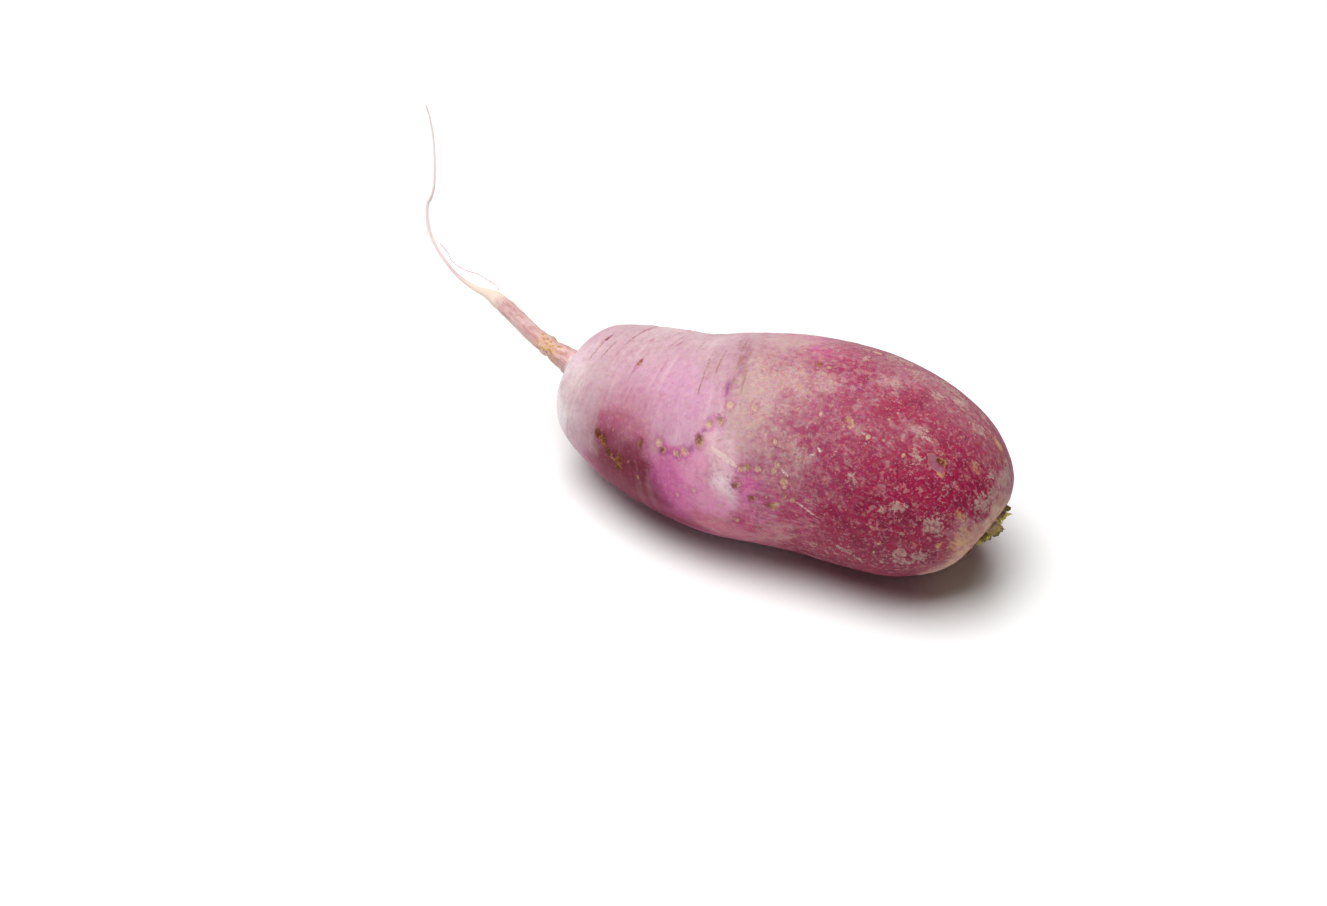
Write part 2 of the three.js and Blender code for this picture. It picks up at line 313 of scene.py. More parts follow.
SCRATCHES = [  # (distance, angle) of both ends, half width; the drawn line is a third as wide
    (71.8, 31.5, 77.6, 23.2, 2.4), (90, 26.2, 93.6, 22.6, 1.1), (97.8, 9.7, 112.3, 4.6, 0.95),
    (103.2, 42, 106.4, 39.6, 1.1), (100.4, 36.8, 103, 37.4, 0.9),
]
VEILS = [  # long faint lighter strokes, as SCRATCHES
    (86, -12, 107, -4.5, 1.8), (100, -1, 113, -1.6, 1.3), (84, -26, 100, -16, 1.8),
    (64, -24, 76, -10, 1.6), (105, 90.4, 111, 93, 1.5), (115.4, 90, 119, 96, 1.7),
    (93.4, 96, 93.8, 89, 1.2), (122, 96, 124, 101, 1.3), (111, 63, 116.5, 55.5, 1.8),
]
CREASES = [  # fine lines round the root, as SCRATCHES
    (16.3, 48, 16.3, 94, 0.7), (25.2, 50, 25.8, 112, 0.6), (34.4, 52, 34.6, 78, 0.6),
    (33.7, 84, 33.8, 96, 0.5), (38.4, 96, 40, 118, 0.7), (47.4, 60, 47.5, 80, 0.6),
    (65.6, 60, 65, 93, 0.7), (74.6, 76, 72.8, 108, 0.65), (75.6, 64, 75.8, 104, 0.6),
    (76.6, 60, 76.8, 78, 0.55), (74.6, 62, 74.2, 72, 0.5), (20.5, 60, 20.8, 84, 0.5),
    (43, 78, 43.4, 104, 0.5), (56, 84, 56.2, 110, 0.5), (68.8, 66, 69, 92, 0.6),
    (18, 130, 18.5, 210, 0.6), (31, 150, 31, 230, 0.6), (52, 140, 53, 200, 0.6),
    (64, 160, 64, 250, 0.7),
]

EDGE_OF_ROSE = [  # (angle, distance where the pale skin turns to rose)
    (-90, 96), (-40, 88), (-15, 84), (0, 84), (15, 84), (35, 86), (50, 84), (65, 84), (90, 85),
    (115, 91), (140, 88), (180, 86), (220, 90), (270, 96),
]
GROUND = [  # (distance, tone) along the root, where the rose half begins at ROSE_START
    (-20, "pale"), (64, "pale"), (76, "dusk"), (86, "old_rose"), (100, "wine"), (134, "crimson"),
    (157, "crimson"), (157.8, "rim"),
]
WASHES = [  # (tone, distance, angle, half along, half round, amount), laid one over the other
    ("cream", 7, 40, 9, 22, 1.0), ("bleached", 5, 26, 8, 22, 1.0), ("bleached", 9, 12, 7, 8, 1.0),
    ("cream", 14, 30, 6, 10, 0.8), ("pale", 12, 100, 10, 9, 0.5), ("lilac", 60, 50, 12, 14, 0.8),
    ("lilac", 50, 68, 9, 10, 0.4), ("lilac", 37, 62, 8, 7, 0.25), ("cream", 33, 104, 9, 8, 0.3),
    ("cream", 84, 112, 7, 7, 0.35), ("cream", 60, 104, 12, 6, 0.3), ("pink", 45, 46, 9, 7, 0.75),
    # The maroon, plum, blotch and deep washes between 31 and 60 mm, from -38 to 30 degrees, in the next
    # lines, lay the dark blotch near the tap-root end: partly the skin's own dark crimson, partly painted
    # cast shadow, darkest along the lower front.
    ("pink", 35, 42, 6, 5, 0.6), ("pink", 27, -26, 7, 8, 0.9), ("maroon", 44, 29, 9, 5, 0.75),
    ("maroon", 35, 27, 6, 6, 0.85), ("maroon", 31, -17, 5, 8, 0.8), ("magenta", 50, 12, 3, 5, 0.4),
    ("blotch_and_shade", 40, 12, 8, 5, 0.4), ("plum", 36, 15, 6, 5, 0.7), ("maroon", 49, 20, 5, 4, 0.6),
    ("blotch_and_shade", 48, 13, 5, 4, 0.7), ("plum", 38, -18, 8, 8, 0.95), ("cream", 36, 122, 12, 6, 0.7),
    ("old_rose", 57, 124, 5, 5, 0.6), ("plum", 54, -36, 15, 9, 1.0), ("blotch_and_shade", 46, -34, 14, 9, 1.0),
    ("deep", 52, -38, 12, 6, 0.8), ("violet", 57, 2, 3.6, 7, 1.0), ("violet", 57, -14, 5.5, 6, 0.9),
    ("orchid", 59, 13, 5, 5, 0.85), ("orchid", 62.5, 1, 4.5, 8, 1.0), ("orchid", 66, -9, 5, 5, 0.7),
    ("orchid", 62, 25, 5, 2.5, 0.7), ("violet", 61, -22, 3.4, 3, 1.0), ("plum", 60, -33, 5, 5, 0.9),
    ("blotch_and_shade", 42, 0, 8, 6, 1.0), ("blotch_and_shade", 49, 3, 4.6, 6, 1.0), ("blotch_and_shade", 49, -12, 6, 5.5, 1.0),
    ("blotch_and_shade", 53, -19, 3.4, 3, 0.5), ("blotch_and_shade", 36, -2, 5, 4, 0.9), ("blotch_and_shade", 51.5, 10, 2, 2.6, 0.8),
    ("blush", 71, 4, 6.5, 9, 1.0), ("blush", 67.5, 17, 5, 5, 0.9), ("shell", 75.4, 14, 3.6, 6.5, 1.0),
    ("bleached", 75.2, 14.5, 2.4, 4.5, 0.45), ("shell", 74, 30, 4.6, 6, 0.85),
    ("shell", 70, 38, 3, 4, 0.6), ("salmon", 70, -19, 6, 6, 0.95), ("salmon", 78, -34, 8, 6, 0.9),
    ("magenta", 66, -17, 3, 4, 0.4), ("orchid", 81.4, 9, 3.6, 9, 1.0), ("orchid", 86, 0, 4.8, 6, 1.0),
    ("blush", 85, -2, 3, 4, 0.4), ("magenta", 79, -13, 4, 6, 1.0), ("salmon", 89, -17, 7, 5, 0.85),
    ("magenta", 101, 0, 13, 6.5, 1.0), ("magenta", 92, 12, 6, 5, 0.6), ("wine", 102, -30, 8, 6, 1.0),
    ("crimson", 110, -36, 16, 8, 1.0), ("crimson", 107, -25, 5, 3, 0.9),
    ("crimson", 118, 8, 4.6, 3, 1.0), ("crimson", 124, 1, 10, 6, 0.8),
    ("crimson", 137, 13, 13, 16, 0.9), ("crimson", 120, -12, 3, 3, 0.9),
    ("crimson", 140, -22, 9, 8, 1.0), ("deep", 144, -26, 5, 5, 0.7), ("deep", 118, -34, 18, 6, 0.9),
    ("deep", 102, -32, 6, 4, 0.7), ("crimson", 116, -14, 6, 3, 0.6), ("deep", 146, -30, 6, 6, 0.9),
    ("deep", 149, 2, 2.4, 4, 0.6), ("crimson", 134, 46, 5, 6, 0.9), ("crimson", 142, 44, 8, 9, 0.9),
    ("crimson", 150, 66, 3, 6, 0.9), ("crimson", 122.5, 78, 4, 4, 0.9), ("wine", 84, 78, 3, 3, 0.4),
    ("orchid", 92, 101, 4, 4, 0.4), ("magenta", 98, 101, 6, 6, 0.5), ("orchid", 86, 122, 6, 6, 0.7),
    ("old_rose", 118, 112, 12, 8, 0.7), ("old_rose", 134, 104, 12, 10, 0.45),
    ("bruise", 73.1, 65, 0.9, 3.0, 1.0), ("bruise", 69.5, 41.6, 0.8, 1.4, 0.8),
    ("bruise", 65.4, 28.6, 0.8, 1.4, 0.6), ("bruise", 61.6, 24.4, 2.4, 1.6, 0.35),
    ("bruise", 57.4, 22.4, 1.8, 1.0, 0.3), ("dusk", 67, 82, 2.2, 8, 0.6),
    # The two narrow mauve strokes round the root at 72.8 and 75.3 mm are painted shade along wrinkles.
    ("dusk", 75, 88, 2.6, 10, 0.7), ("wrinkle_shade", 75.3, 86, 0.9, 11, 0.7),
    ("wrinkle_shade", 72.8, 102, 0.6, 5, 0.5), ("pale", 70.6, 102, 2.0, 7, 0.6),
    ("pale", 70.4, 76, 1.4, 5, 0.4), ("lilac", 60, 180, 9, 14, 0.7), ("violet", 50, 214, 8, 9, 0.6),
    ("orchid", 62, 226, 8, 9, 0.7), ("plum", 42, 250, 10, 10, 0.8), ("blush", 72, 262, 8, 11, 0.8),
    ("shell", 78, 205, 6, 12, 0.7), ("pink", 40, 160, 10, 9, 0.4), ("cream", 10, 200, 8, 30, 0.7),
    ("salmon", 92, 240, 9, 10, 0.7), ("magenta", 104, 190, 10, 8, 0.7),
    ("crimson", 140, 200, 13, 18, 0.8), ("crimson", 124, 250, 12, 16, 0.8),
    ("maroon", 48, 286, 9, 9, 0.8), ("orchid", 63, -42, 5, 2.5, 0.6), ("wine", 86, -42, 14, 5, 0.9),
    ("blush", 82, 2, 4, 6, 0.35), ("deep", 140, -9, 9, 4, 0.5), ("rim", 156.2, -24, 1.5, 8, 1.0),
    ("rim", 157.2, 32, 0.8, 6, 0.8), ("rim", 157.4, 0, 0.7, 5, 0.6), ("rim", 157.6, 82, 0.6, 14, 1.0),
    ("rim", 157, 300, 5, 16, 1.0), ("rim", 157.2, 200, 1.4, 40, 0.8), ("rim", 155.4, 30, 0.9, 6, 0.6),
    ("rim", 155.4, 46, 0.8, 5, 0.4), ("rim", 155.6, 88, 0.9, 7, 0.5), ("rim", 155.2, -24, 1.2, 7, 0.6),
    ("pink", 7, 76, 5, 10, 0.4), ("lilac", 8, 100, 6, 10, 0.4),
]
COVER = [  # (distance, how much of the skin the tan film covers)
    (58, 0.0), (70, 0.16), (80, 0.44), (92, 0.48), (106, 0.46), (122, 0.4), (150, 0.38),
]
THICK = [  # where the tan film is thicker and sandier
    (79.5, 64, 4, 11, 0.5), (78, 50, 4, 7, 0.4), (82, 57, 3, 5, 0.3), (87.3, 76, 2.6, 4, 0.45),
    (99, 76, 4, 4, 0.35), (75.5, 37, 4, 4, 0.2), (92, 68.5, 2, 1.8, 0.4), (101, 35, 3.4, 2.4, 0.25),
    (117, 93, 4, 4, 0.3), (131, 72, 6, 5, 0.2), (84, 112, 5, 8, 0.3), (84, 140, 5, 16, 0.4),
    (78, 205, 6, 14, 0.4), (98, 160, 5, 7, 0.3), (108, 230, 6, 7, 0.3), (128, 110, 16, 12, 0.12),
    (146, 98, 5, 8, 0.12), (94, 34, 9, 7, 0.12), (152, 40, 3, 6, 0.34), (152.5, 98, 3, 9, 0.36),
    (153, -26, 3, 6, 0.3), (153, 84, 2.4, 4, 0.2), (153, 54, 2, 3, 0.2),
]
THIN = [  # where the deep crimson shows through
    (137, 14, 13, 17, 0.18), (118.5, 8, 4.6, 3.4, 0.34), (125, 2, 9, 9, 0.16), (135, -8, 9, 8, 0.12),
    (134, 45, 6, 6, 0.2), (142, 42, 7, 10, 0.2), (147, 52, 4, 9, 0.16), (150, 66, 3, 6, 0.2),
    (122.5, 79, 4, 4, 0.2), (112, 14, 3, 3, 0.16), (140, -24, 10, 8, 0.2), (113, -34, 16, 6, 0.2),
    (138, 80, 7, 8, 0.16), (127, 91, 7, 5, 0.16), (137, 92, 6, 4, 0.12), (104, -2, 14, 7, 0.18),
    (104, -34, 16, 8, 0.3), (128, -32, 12, 6, 0.2), (147, -26, 5, 7, 0.25), (149, 4, 3, 6, 0.2),
    (80, -6, 8, 9, 0.24), (72, 6, 8, 12, 0.24), (106, -27, 6, 3, 0.2), (82, 4, 6, 8, 0.2),
    (105, 62, 7, 5, 0.05), (144, 205, 12, 20, 0.2), (128, 250, 16, 22, 0.18), (118, 190, 9, 12, 0.12),
    (72, 255, 10, 14, 0.24),
]
CORK = [  # grey-tan islands of corky skin
    (146.8, 3, 2.4, 3.2, 1.0), (141.4, 2, 2.2, 2.4, 0.9), (143.2, -5.4, 3.6, 2.4, 1.0),
    (137.9, -12, 1.1, 1.8, 1.0), (124, -12, 4, 2.6, 0.72), (129.5, -18, 3.6, 2.2, 0.66),
    (145.3, 30, 3.1, 3.4, 0.95), (135.4, 30.5, 3, 2.3, 0.85), (131.8, 24.5, 1.6, 1.6, 0.75),
    (120.5, 32.5, 2.6, 2.4, 0.6), (151.6, 66, 2.2, 3.8, 1.0), (152.4, 75.5, 2.1, 3.8, 1.0),
    (152, 98, 1.6, 5, 0.8), (150.6, 112, 2.2, 4, 0.7), (154.5, -22, 2.6, 7, 1.0),
    (156, -4, 1.4, 6, 1.0), (151, -32, 1.8, 5, 0.8), (118, 92, 2.4, 3.2, 0.7), (113, 119, 7, 5, 0.95),
    (121, 112, 3, 4.6, 0.85), (106, 106, 3, 3, 0.6), (133, 112, 3, 5, 0.85),
    (128.5, 103, 2.2, 3.4, 0.75), (96, 104, 3, 3, 0.55), (140, 104, 3, 4, 0.75), (128, 120, 6, 4, 0.9),
    (137, 122, 4, 3, 0.7), (120, 55, 3, 3, 0.5), (133, 61, 2.6, 3.4, 0.6), (131.5, 74, 2.6, 2.6, 0.7),
    (110, -19, 3, 2.2, 0.55), (117, -22, 3, 2.2, 0.55), (105, 118, 4, 4, 0.6), (99, 32, 3, 2, 0.5),
    (143, 54, 2, 3, 0.6), (149, 88, 2, 4, 0.62), (110, 160, 8, 8, 0.7), (140, 190, 6, 9, 0.8),
    (125, 225, 7, 6, 0.7), (150, 260, 3, 10, 0.9), (100, 215, 5, 5, 0.5), (139, 295, 4, 8, 0.7),
    (152, 130, 3, 10, 0.8), (120, 290, 6, 5, 0.6),
]
STRAW = [  # yellow-brown streaks
    (149.7, 18.5, 0.7, 2.0, 1.2), (153.4, 26, 2.4, 4.0, 1.0), (152.8, 36, 2.8, 3.4, 0.8),
    (149.5, 46, 3, 2.6, 0.62), (155.4, 12, 1.4, 4, 0.7), (155.4, 32, 0.9, 4, 0.5),
    (155.3, -24, 1.2, 6, 0.4), (155.5, 82, 0.8, 6, 0.4), (155.6, -12, 1.4, 5, 0.7),
    (138.5, 67.5, 2.6, 2.6, 0.62), (145.5, 78, 3.6, 4.2, 0.44), (145.5, 113, 2.8, 2.4, 1.0),
    (134, 64, 1.2, 2.8, 0.5), (139.6, 60.4, 1.6, 1.4, 0.6), (149, 100, 3, 3, 0.4),
    (144, 12, 2, 1.4, 0.5), (151, 160, 2, 8, 0.6), (151, 230, 2, 8, 0.6), (153, 330, 2, 5, 0.7),
]
PEELED = [  # where the outer skin has come off, as SCRATCHES
    (136, 65.4, 139.2, 61.8, 2.3), (129, 172, 134, 180, 2.4), (102, 236, 106, 240, 2.2),
]
WRINKLE_BANDS = [  # where the skin is most wrinkled, as SCRATCHES
    (62, 102, 67, 63, 2.2), (71, 107, 74.5, 67, 2.2),
]


def ground_tones(distance, angle, radius, tones):
    """The skin's colour under its film at each vertex: a ramp of tones along the root, then soft
    washes laid over it, each mixed in by amount * the smaller of 1 and 1.4 * exp(-reach squared)
    round a centre. The places are first shifted by noise, so that edges wander."""
    skin = on_skin(angle, distance) / 7
    s = distance + 2.6 * layered_noise(skin, 4, 51)
    a = angle + 4 * layered_noise(skin, 3, 57) + 3 * layered_noise(skin * (1.2, 1.2, 3.5), 2, 59)
    shift = np.interp((a + 90) % 360 - 90, *np.transpose(EDGE_OF_ROSE)) - ROSE_START
    shift = shift + 7 * layered_noise(skin / 1.6, 3, 63)
    stops = [stop for stop, _ in GROUND]
    ramp = np.array([getattr(tones, name) for _, name in GROUND])
    colour = np.stack([np.interp(s - shift, stops, ramp[:, k]) for k in range(3)], 1)
    for name, *place, amount in WASHES:
        weight = amount * np.minimum(1.4 * blots(s, a, radius, [(*place, 1.0)]), 1.0)
        colour += (np.array(getattr(tones, name)) - colour) * weight[:, None]
    return colour, smooth(s - shift, 66, 92)


def scar_fields(distance, angle, radius):
    """For each place, its distance from the nearest scar's centre in that scar's own half sizes,
    as the length of (x / half along, y / half round); the same from the centre of a pit, which
    lies nearly half way to one side and is the smaller the paler its scar; and the scar's
    paleness."""
    draw = np.random.default_rng(STRAY_SEED)
    stray = np.stack([draw.uniform(low, high, STRAY_SCARS) for low, high in STRAY_RANGES], 1)
    nearest = np.full(distance.shape, FAR_FROM_SCARS)
    pit = np.full(distance.shape, FAR_FROM_SCARS)
    paleness = np.zeros(distance.shape)
    for s, turn, half_along, half_round, way, pale in [*SCARS, *stray]:
        x = (distance - s) / half_along
        y = np.radians(round_by(angle, turn)) * radius / half_round
        reach = np.hypot(x, y)
        closer = reach < nearest
        nearest = np.where(closer, reach, nearest)
        paleness = np.where(closer, pale, paleness)
        pit_x, pit_y = PIT_ASIDE * math.cos(math.radians(way)), PIT_ASIDE * math.sin(math.radians(way))
        pit = np.minimum(pit, np.hypot(x - pit_x, y - pit_y) / (0.98 - 0.58 * pale))
    return nearest, pit, paleness


# ---------------------------------------------------------------------------
# Meshes
# ---------------------------------------------------------------------------


def ring_faces(counts):
    """Faces between stacked rings of vertices, from their sizes: quads where two rings match, and
    three triangles to each coarse side where one ring has twice the vertices of the other."""
    starts = np.r_[0, np.cumsum(counts)]
    quads, corners = [], []
    for k, (a, b) in enumerate(zip(counts[:-1], counts[1:])):
        low, high = starts[k], starts[k + 1]
        if a == b:
            i = np.arange(a)
            j = (i + 1) % a
            quads.append(np.stack([low + i, low + j, high + j, high + i], 1))
        else:
            fine, coarse, flip = (high, low, False) if b > a else (low, high, True)
            n = min(a, b)
            i = np.arange(n)
            j = (i + 1) % n
            f0, f1, f2 = fine + 2 * i, fine + 2 * i + 1, fine + (2 * i + 2) % (2 * n)
            fans = np.vstack([
                np.stack([coarse + i, f1, f0], 1),
                np.stack([coarse + i, coarse + j, f1], 1),
                np.stack([coarse + j, f2, f1], 1),
            ])
            corners.append(fans[:, ::-1] if flip else fans)
    return quads, corners


def close_ends(count_first, count_last, total):
    """Fans of triangles that close the first and the last ring on one vertex each: the vertices
    after all the rings."""
    i = np.arange(count_first)
    first = np.stack([np.full(count_first, total), (i + 1) % count_first, i], 1)
    base = total - count_last
    i = np.arange(count_last)
    last = np.stack([np.full(count_last, total + 1), base + i, base + (i + 1) % count_last], 1)
    return [first, last]


def round_rings(centre, side, lift, radius, sides):
    """Rings round a line, each centre + radius * (cos side + sin lift) over one turn."""
    turn = (np.arange(sides) / sides * 2 * np.pi)[None, :, None]
    wheel = np.cos(turn) * side[:, None] + np.sin(turn) * lift[:, None]
    return centre[:, None] + radius[:, None, None] * wheel


def closed_stack(rings, ends):
    """Vertices and faces of a stack of equal rings, closed on one vertex at each end."""
    levels, around = rings.shape[:2]
    points = np.vstack([rings.reshape(-1, 3), ends])
    quads, _ = ring_faces(np.full(levels, around))
    return points, [*quads, *close_ends(around, around, levels * around)]


VALUE_KINDS = {1: ("FLOAT", "value"), 3: ("FLOAT_VECTOR", "vector"), 4: ("FLOAT_COLOR", "color")}


def store(name, points, face_groups, values, material, nodes):
    """A finished mesh object in metres, with its point values, material and place in the frame."""
    mesh = bpy.data.meshes.new(name)
    faces = [face for group in face_groups for face in group.tolist()]
    mesh.from_pydata((points * MM).tolist(), [], faces)
    for key, value in values.items():
        kind, field = VALUE_KINDS[1 if value.ndim == 1 else value.shape[1]]
        layer = mesh.attributes.new(key, kind, "POINT")
        layer.data.foreach_set(field, value.astype(np.float32).ravel())
    mesh.materials.append(material)
    mesh.update()
    mesh.validate()
    mesh.shade_smooth()
    piece = bpy.data.objects.new(name, mesh)
    bpy.context.scene.collection.objects.link(piece)
    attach(piece, BODY)
    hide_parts(*nodes)
    return piece


# ---------------------------------------------------------------------------
# Materials
# ---------------------------------------------------------------------------


class Finish:
    """A procedural material, and short calls that add its nodes and join them. A value may be a
    number or the output of a node; a colour may be a tone or the output of a node."""

    def __init__(self, name):
        self.material = bpy.data.materials.new(name)
        self.material.use_nodes = True
        self.tree = self.material.node_tree
        self.shader = self.tree.nodes["Principled BSDF"]

    def add(self, kind, settings, inputs, output=0):
        """A new node with its settings and inputs; returns one of its outputs."""
        node = self.tree.nodes.new(kind)
        for key, value in settings.items():
            setattr(node, key, value)
        for key, value in inputs.items():
            self.feed(node.inputs[key], value)
        return node.outputs[output]

    def feed(self, socket, value):
        """Joins an output to a socket, or sets a constant on it; a tone gets full opacity."""
        if isinstance(value, bpy.types.NodeSocket):
            self.tree.links.new(value, socket)
        else:
            socket.default_value = (*value, 1.0) if socket.type == "RGBA" else value

    def math(self, operation, a, b=0.0):
        """One sum on one or two values."""
        return self.add("ShaderNodeMath", {"operation": operation}, {0: a, 1: b})

    def sum(self, *values):
        """All the values added up."""
        total = values[0]
        for value in values[1:]:
            total = self.math("ADD", total, value)
        return total

    def times(self, *values):
        """All the values multiplied."""
        total = values[0]
        for value in values[1:]:
            total = self.math("MULTIPLY", total, value)
        return total

    def weigh(self, *pairs):
        """The sum of values, each times its weight."""
        return self.sum(*(self.times(value, weight) for value, weight in pairs))

    def rest(self, value):
        """What a value leaves of 1."""
        return self.math("SUBTRACT", 1.0, value)

    def fade(self, value, low, high, start=0.0, end=1.0):
        """From start at low to end at high, smoothly."""
        inputs = {"Value": value, "From Min": low, "From Max": high, "To Min": start, "To Max": end}
        return self.add("ShaderNodeMapRange", {"interpolation_type": "SMOOTHSTEP"}, inputs)

    def mix(self, amount, a, b, blend="MIX"):
        """Colour a at amount 0, blended with colour b at 1."""
        settings = {"data_type": "RGBA", "blend_type": blend}
        return self.add("ShaderNodeMix", settings, {0: amount, 6: a, 7: b}, 2)

    def coat(self, base, tone, *amounts):
        """A colour laid over a base, as strongly as the product of the amounts."""
        return self.mix(self.times(*amounts), base, tone)

    def place(self):
        """Object coordinates in millimetres."""
        source = self.add("ShaderNodeTexCoord", {}, {}, "Object")
        return self.stretch(source, [1 / MM] * 3)

    def stretch(self, vector, scale):
        """A place whose x, y and z are each multiplied by their own scale."""
        return self.add("ShaderNodeVectorMath", {"operation": "MULTIPLY"}, {0: vector, 1: scale})

    def value(self, name, output="Fac"):
        """A field stored on the mesh."""
        return self.add("ShaderNodeAttribute", {"attribute_name": name}, {}, output)

    def split(self, colour):
        """The red, green and blue of a colour."""
        return self.add("ShaderNodeSeparateColor", {}, {0: colour}).node.outputs

    def channels(self, name):
        """Four fields stored together on the mesh."""
        return [*self.split(self.value(name, "Color")), self.value(name, "Alpha")]

    def noise(self, vector, period, detail=3.0, rough=0.5, distort=0.0, output="Fac"):
        """Noise whose main lumps are a period across, in millimetres."""
        inputs = {"Vector": vector, "Scale": 1 / period, "Detail": detail, "Roughness": rough,
                  "Distortion": distort}
        return self.add("ShaderNodeTexNoise", {}, inputs, output)

    def dots(self, vector, spacing, size, share):
        """Round dots on some cells of a grid of scattered points: 1 inside, 0 outside."""
        cells = self.add("ShaderNodeTexVoronoi", {}, {"Vector": vector, "Scale": 1 / spacing}).node.outputs
        chosen = self.math("LESS_THAN", self.split(cells["Color"])[0], share)
        return self.times(self.fade(cells["Distance"], size, 0.45 * size), chosen)

    def relief(self, height):
        """Feeds a height in millimetres to the shader's normal."""
        bump = self.add("ShaderNodeBump", {}, {"Height": height, "Distance": MM, "Strength": 1.0})
        self.feed(self.shader.inputs["Normal"], bump)

    def finish(self, colour, roughness, specular):
        """The finished material."""
        self.feed(self.shader.inputs["Base Color"], colour)
        self.feed(self.shader.inputs["Roughness"], roughness)
        self.feed(self.shader.inputs["Specular IOR Level"], specular)
        return self.material


def skin_finish(tones):
    """The skin: washes of pale pink, violet, rose and crimson under a broken tan film, with flecks,
    corky grey islands, fine creases, brown-pitted scars and a few scratches."""
    f = Finish("radish skin")
    spot = f.place()
    skin = f.value("skin", "Vector")
    ground = f.value("ground", "Color")
    ripe = f.value("ground", "Alpha")
    cover, sandy, cork, straw = f.channels("film")
    crease, peel, veil, flow = f.channels("lines")
    scar, pit, scar_pale, scratch = f.channels("marks")
    wrinkle = f.value("wrinkle")

    broad = f.noise(spot, 12, 3)
    mottle = f.noise(spot, 3.2, 8, 0.72)
    lace = f.noise(f.stretch(skin, (1, 1, 0.7)), 1.5, 4, 0.62, 0.5)
    cloud = f.noise(spot, 2.0, 6, 0.64)
    fine = f.noise(spot, 0.9, 3, 0.6)
    grain = f.noise(spot, 0.4, 2, 0.5)
    shred = f.noise(spot, 1.8, 7, 0.74)
    tint = f.noise(spot, 1.3, 5, 0.66, output="Color")
    band = f.noise(f.stretch(skin, (0.09, 0.09, 1)), 3.6, 6, 0.66)
    ragged = f.sum(f.weigh((mottle, 0.55), (fine, 0.45)), -0.5)

    def patch(mask, raggedness, low, high):
        """A mask faded in from low to high, with ragged edges."""
        return f.fade(f.sum(mask, f.times(ragged, raggedness)), low, high)

    # Ground: broad washes, lighter and duller in clouds and, on the pale half, in bands round it. The bands
    # follow the relief's bands: their cream on the raised crests is partly painted light, and their darker
    # colour in the sunk troughs, where the skin is wrinkled, is painted shade.
    red, green, _ = f.split(ground)
    faded = f.fade(f.math("DIVIDE", green, red), 0.28, 0.52)
    unripe = f.rest(ripe)
    rich = f.times(unripe, f.rest(faded))
    deep = f.times(ripe, f.fade(cover, 0.46, 0.24))
    pallor = f.times(unripe, faded, f.fade(green, 0.58, 0.72, 1, 0.2))
    colour = f.coat(ground, tones.lilac, f.fade(broad, 0.45, 0.7), pallor, 0.22)
    # Cream on the raised crests of the bands: paler skin, partly painted light on the crests.
    colour = f.coat(colour, tones.cream, f.fade(band, 0.52, 0.72), pallor, 0.4)
    # Painted shade in the sunk troughs of the bands, where the skin is wrinkled.
    colour = f.coat(colour, tones.wrinkle_shade, f.fade(band, 0.46, 0.3), wrinkle, 0.4)
    colour = f.coat(colour, tones.cream, f.fade(cloud, 0.52, 0.66), faded, 0.16)
    colour = f.coat(colour, tones.crimson, f.fade(cloud, 0.5, 0.36), f.fade(ripe, 0, 1, 0.14, 0.4))
    speckle = f.fade(f.weigh((lace, 0.5), (fine, 0.5)), 0.46, 0.64)
    colour = f.coat(colour, tones.sand, speckle, f.sum(f.weigh((pallor, 0.24), (ripe, 0.12)), 0.02))

    # Film: tan to sandy, torn and threaded with fine gaps, so that the ground shows through.
    tear = f.weigh((mottle, 1.1), (f.sum(lace, -0.5), 0.7), (f.sum(broad, -0.5), 0.25))
    film = f.fade(f.sum(tear, cover), 0.87, 1.22)
    gap = f.fade(f.math("ABSOLUTE", f.sum(lace, -0.5)), 0.0, 0.05, 0.45, 1)
    film = f.times(film, gap, f.fade(fine, 0.36, 0.56, 0.62, 1))
    dusty = f.fade(f.sum(sandy, f.times(f.sum(cloud, -0.5), 2.2)), 0.1, 0.9)
    colour = f.coat(colour, f.mix(dusty, tones.film, tones.sand), film, 0.85)
    flecks = f.fade(f.weigh((fine, 0.65), (cloud, 0.35)), 0.565, 0.65)
    colour = f.coat(colour, tones.fleck, flecks, f.sum(f.weigh((ripe, 0.4), (pallor, 0.1)), 0.02))
    murk = f.noise(spot, 1.9, 7, 0.74)
    dark = f.fade(f.weigh((f.noise(spot, 5, 3), 0.5), (murk, 0.5)), 0.51, 0.43)
    colour = f.coat(colour, tones.deep, dark, f.sum(0.06, f.weigh((deep, 0.62), (rich, 0.06))))
    colour = f.coat(colour, tones.blush, f.fade(shred, 0.53, 0.6), rich, f.fade(red, 0.18, 0.4, 0.07, 0.24))
    colour = f.coat(colour, tones.fleck, f.fade(shred, 0.535, 0.585), deep, 0.44)
    colour = f.coat(colour, tones.magenta, f.fade(shred, 0.45, 0.4), f.weigh((ripe, 0.16), (rich, 0.2)))
    brushed = f.noise(f.stretch(skin, (1, 1, 0.16)), 1.3, 4, 0.6)
    colour = f.coat(colour, tones.fleck, f.fade(brushed, 0.52, 0.63), flow, 0.5)
    colour = f.coat(colour, tones.crimson, f.fade(brushed, 0.46, 0.38), flow, 0.3)
    colour = f.coat(colour, tones.fleck, patch(veil, 1.2, 0.4, 1.2), 0.4)
    colour = f.mix(f.sum(0.35, f.weigh((ripe, 0.4), (rich, 0.2))), colour, tint, "SOFT_LIGHT")

